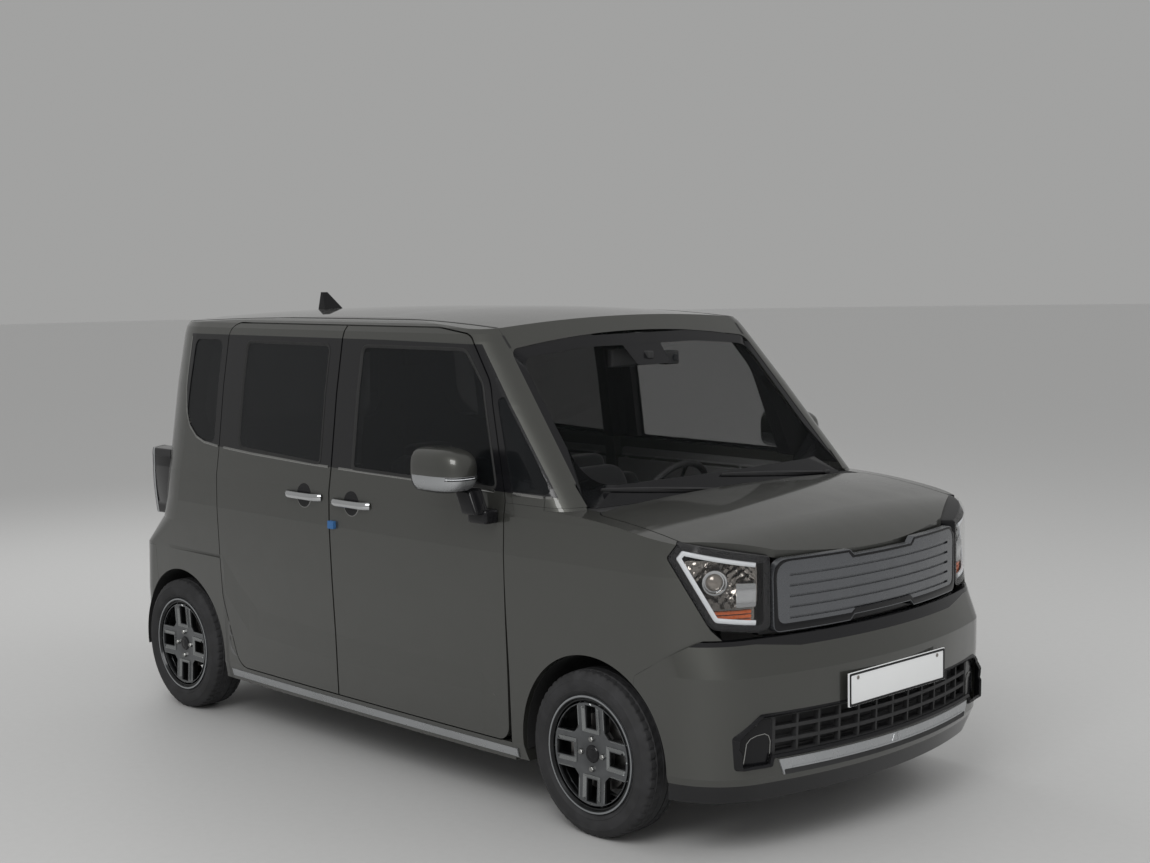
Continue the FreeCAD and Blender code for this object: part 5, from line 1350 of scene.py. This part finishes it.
class CAR_OT_cabin(bpy.types.Operator):
    """Build the seats, steering wheel, dashboard fittings, door cards, headlining and carpet."""
    bl_idname = "kei_car.cabin"
    bl_label = "Cabin"

    def execute(self, context):
        for tag, side in SIDES:
            seat = self.seat(-0.002, side * 0.370, 0.250, "front_seat_" + tag)
            if side > 0:
                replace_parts(seat, "front_seats")
        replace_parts(self.seat(-0.922, 0.0, 0.590, "rear_bench"), "rear_seat")
        self.steering_wheel()
        self.dashboard()
        self.linings()
        return {"FINISHED"}

    def seat(self, x, y, half, name):
        """Cushion, bolsters, backrest and head restraint about the seat's own heel point."""
        bm = bmesh.new()
        rake = 0.19

        def lean(p):
            return (p.x - rake * (p.z - 0.55), p.y, p.z)

        wide = 1 if half < 0.3 else 2
        for k in range(wide):
            middle = y + (k - (wide - 1) / 2) * half
            part = half / wide
            pad(bm, (x + 0.245, middle, 0.478), (0.215, part * 0.80, 0.078), 0.34, 18, 44, 0, None, 0.012)
            pad(bm, (x + 0.035, middle, 0.770), (0.062, part * 0.78, 0.265), 0.36, 26, 40, 0, lean, 0.012)
            for edge in (-1.0, 1.0):
                if wide > 1 and edge * (k - 0.5) < 0:
                    continue
                pad(bm, (x + 0.245, middle + edge * part * 0.86, 0.486), (0.205, part * 0.13 + 0.004, 0.080),
                    0.5, 14, 26, 1)
                pad(bm, (x + 0.052, middle + edge * part * 0.84, 0.760), (0.060, part * 0.14 + 0.004, 0.235),
                    0.5, 20, 26, 1, lean)
            pad(bm, (x + 0.012, middle, 1.035), (0.042, min(0.125, part * 0.45), 0.046), 0.5, 14, 30, 1, lean)
        low, high = (x + 0.045, y - half + 0.065, 0.2305), (x + 0.430, y + half - 0.065, 0.420)
        block(bm, low, high, 0.02, 2)
        cushion = piece(name, bm, ["cloth", "cloth_dark", "cabin_black"], "body")
        rounding = cushion.modifiers.new("rounding", "SUBSURF")
        rounding.levels = rounding.render_levels = 1
        return cushion

    def steering_wheel(self):
        bm = bmesh.new()
        rake = math.radians(62.0)
        radius, grip = 0.182, 0.0135
        centre = Vector((0.425, 0.370, 0.925))
        axis = Vector((-math.sin(rake), 0.0, math.cos(rake)))
        up = axis.cross(ALONG_Y)
        turns = [2 * math.pi * i / 14 for i in range(14)]
        ring = [(grip * math.sin(s), radius + grip * math.cos(s)) for s in turns]
        spin(bm, centre, (axis, ALONG_Y, up), ring, 64, 0, True)
        for t in (0.0, math.pi, 1.5 * math.pi):
            out = ALONG_Y * math.cos(t) + up * math.sin(t)
            spoke = [centre + out * (0.05 + 0.125 * k / 6) - axis * 0.006 for k in range(7)]
            sweep(bm, spoke, [0.013, 0.012, 0.010, 0.009, 0.009, 0.010, 0.011], 10, 1, 0.6)
        hub = ((-0.025, 0.0001), (-0.025, 0.056), (-0.004, 0.061), (0.008, 0.058), (0.014, 0.048),
               (0.016, 0.030), (0.0165, 0.0001))
        spin(bm, centre, (axis, ALONG_Y, up * 0.86), hub, 48, 0)
        piece("steering_wheel_rim", bm, ["cabin_black", "dull_chrome"], "steering_wheel",
              ["steering_wheel"], 50.0)

    def dashboard(self):
        board = skin("dashboard")
        bm = bmesh.new()
        for y, half, low, high, mat in ((0.0, 0.125, 0.870, 0.975, 1), (0.370, 0.140, 0.905, 0.975, 1),
                                        (0.0, 0.120, 0.770, 0.845, 2), (-0.370, 0.190, 0.700, 0.820, 2)):
            ring = outline(oblong(y + half, y - half, low, high, 0.012), 4, 10)
            plate_patch(bm, ring, from_rear, board, 0.0035, 0.006, 0.03, mat)
        for y in (-0.600, -0.190, 0.190, 0.600):
            for k in range(5):
                z = 0.905 + 0.011 * k
                slat = outline(oblong(y + 0.050, y - 0.050, z, z + 0.006, 0.002), 2, 4)
                plate_patch(bm, slat, from_rear, board, 0.004, 0.006, 0.03, 0)
        for k in range(3):
            ring = circle(-0.070 + 0.070 * k, 0.808, 0.020, 24)
            plate_patch(bm, ring, from_rear, board, 0.014, 0.016, 0.02, 3)
        piece("dashboard_fittings", bm, ["cabin_black", "display", "cabin_grey", "dull_chrome"], "body")

    def linings(self):
        for tag, side in SIDES:
            for end, x0, x1 in (("front", -0.215, 0.690), ("rear", -1.015, -0.285)):
                door = "door_%s_%s" % (end, tag)
                ring = outline(((x0, 0.285, 0.040), (x0, 1.075, 0.020), (x1, 1.070, 0.020),
                                (x1, 0.300, 0.060)), 4, 12)

                def rest(a, b, middle=(x0 + x1) / 2, reach=(x1 - x0) * 0.42):
                    near = max(0.0, 1.0 - ((a - middle) / reach) ** 6)
                    arm_rest = 0.014 * max(0.0, 1.0 - ((b - 0.800) / 0.040) ** 2)
                    pocket = 0.002 if 0.36 < b < 0.52 else 0.0
                    return near * (arm_rest - pocket)
                bm = bmesh.new()
                plate_patch(bm, ring, from_inside(side), skin(door), 0.006, 0.007, (0.05, 0.02), 0, rest)
                piece(door + "_card", bm, ["cabin_grey"], carrier(door))
        bm = bmesh.new()
        roof = outline(oblong(0.560, -1.490, -0.585, 0.585, 0.060), 5, 16)
        plate_patch(bm, roof, from_floor, skin("roof_panel"), 0.003, 0.004, 0.10, 0)
        piece("headlining_panel", bm, ["headlining"], "body")
        bm = bmesh.new()
        for x0, x1, half in ((-1.000, 0.720, 0.600), (-1.620, -1.080, 0.400)):
            ring = outline(oblong(x0, x1, -half, half, 0.03), 4, 16)
            plate_patch(bm, ring, from_above, skin("floor_pan"), 0.004, 0.005, 0.10, 0)
        piece("carpet", bm, ["floor_mat"], "body")


class CAR_OT_stage(bpy.types.Operator):
    """Set the camera, the floor and the lamps."""
    bl_idname = "kei_car.stage"
    bl_label = "Stage"

    def execute(self, context):
        scene, settings = context.scene, context.scene.kei_stage
        scene.view_settings.view_transform = "Standard"
        self.camera(scene, settings.lens)
        self.floor(scene, tuple(settings.floor))
        self.sky(scene, settings.ambient, settings.backdrop)
        self.lamps(scene, settings.key)
        return {"FINISHED"}

    def camera(self, scene, lens):
        """The photo's view, by the camera's own axes and place."""
        right, up = Vector((0.68776, 0.72571, -0.01807)), Vector((-0.05716, 0.07896, 0.99523))
        back = Vector((0.72368, -0.68345, 0.09579))
        camera = bpy.data.objects.new("camera", bpy.data.cameras.new("camera"))
        camera.matrix_world = Matrix((right, up, back)).transposed().to_4x4()
        camera.location = (5.2108, -4.6637, 1.8798)
        camera.data.lens = lens
        camera.data.sensor_width = 36.0
        camera.data.clip_end = 200.0
        scene.collection.objects.link(camera)
        scene.camera = camera

    def floor(self, scene, colour):
        n = Nodes("pale_floor")
        fleck = n.noise(30.0, 4.0)
        n.link(n.mix(n.span(fleck, 0.3, 0.7), shaded(colour, 0.985), shaded(colour, 1.015)),
               n.shader.inputs["Base Color"])
        n.set(Roughness=0.55)
        bm = bmesh.new()
        bmesh.ops.create_circle(bm, cap_ends=True, segments=96, radius=60.0)
        mesh = bpy.data.meshes.new("floor")
        bm.to_mesh(mesh)
        bm.free()
        mesh.materials.append(n.material)
        floor = bpy.data.objects.new("floor", mesh)
        scene.collection.objects.link(floor)

    def sky(self, scene, strength, backdrop):
        """Even light from all round, and the backdrop's colour where it is seen, mirrored or seen through."""
        world = bpy.data.worlds.new("studio")
        scene.world = world
        world.use_nodes = True
        tree = world.node_tree
        sky = tree.nodes["Background"]
        sky.inputs[0].default_value = (1.0, 1.0, 1.0, 1.0)
        sky.inputs[1].default_value = strength
        paths = tree.nodes.new("ShaderNodeLightPath")
        shader = sky.outputs[0]
        seen = tree.nodes.new("ShaderNodeBackground")
        seen.inputs[0].default_value = (*backdrop, 1.0)
        for ray in ("Is Camera Ray", "Is Glossy Ray", "Is Transmission Ray"):
            choose = tree.nodes.new("ShaderNodeMixShader")
            tree.links.new(paths.outputs[ray], choose.inputs[0])
            tree.links.new(shader, choose.inputs[1])
            tree.links.new(seen.outputs[0], choose.inputs[2])
            shader = choose.outputs[0]
        tree.links.new(shader, tree.nodes["World Output"].inputs[0])

    def lamps(self, scene, power):
        """Three soft lamps; only the key lamp shows as a highlight."""
        for name, place, aim, share in (("key", (3.5, -5.5, 5.5), (0.0, 0.0, 0.6), 1.0),
                                        ("fill", (4.5, 5.0, 4.0), (0.0, 0.0, 0.6), 0.35),
                                        ("rear", (-5.5, 1.0, 5.0), (0.0, 0.0, 0.8), 0.5)):
            light = bpy.data.lights.new(name, "AREA")
            light.size = 4.0
            light.energy = power * share
            lamp = bpy.data.objects.new(name, light)
            lamp.visible_glossy = name == "key"
            lamp.location = place
            lamp.rotation_mode = "QUATERNION"
            lamp.rotation_quaternion = (Vector(aim) - Vector(place)).to_track_quat("-Z", "Y")
            scene.collection.objects.link(lamp)


class CAR_PT_sidebar(bpy.types.Panel):
    """List of the car's build steps."""
    bl_idname = "CAR_PT_sidebar"
    bl_label = "Kei Car"
    bl_space_type = "VIEW_3D"
    bl_region_type = "UI"
    bl_category = "Kei Car"

    def draw(self, context):
        scene = context.scene
        for group in (scene.kei_paint, scene.kei_wheels, scene.kei_stage):
            box = self.layout.box()
            for name in group.__annotations__:
                box.prop(group, name)
        for step in STEPS:
            self.layout.operator(step.bl_idname)


STEPS = (CAR_OT_panels, CAR_OT_tyres, CAR_OT_wheels, CAR_OT_headlights, CAR_OT_front_panel, CAR_OT_side_trim,
         CAR_OT_mirrors, CAR_OT_handles, CAR_OT_screen, CAR_OT_front_trim, CAR_OT_rear, CAR_OT_arches,
         CAR_OT_cabin, CAR_OT_stage)
GROUPS = (("kei_paint", PaintSettings), ("kei_wheels", WheelSettings), ("kei_stage", StageSettings))


def register():
    for name, group in GROUPS:
        bpy.utils.register_class(group)
        setattr(bpy.types.Scene, name, PointerProperty(type=group))
    for step in STEPS + (CAR_PT_sidebar,):
        bpy.utils.register_class(step)


def unregister():
    for step in reversed(STEPS + (CAR_PT_sidebar,)):
        bpy.utils.unregister_class(step)
    for name, group in reversed(GROUPS):
        delattr(bpy.types.Scene, name)
        bpy.utils.unregister_class(group)


def main():
    register()
    for step in STEPS:
        group, name = step.bl_idname.split(".")
        if getattr(getattr(bpy.ops, group), name)() != {"FINISHED"}:
            raise RuntimeError(step.bl_idname + " did not finish")


if __name__ == "__main__":
    main()
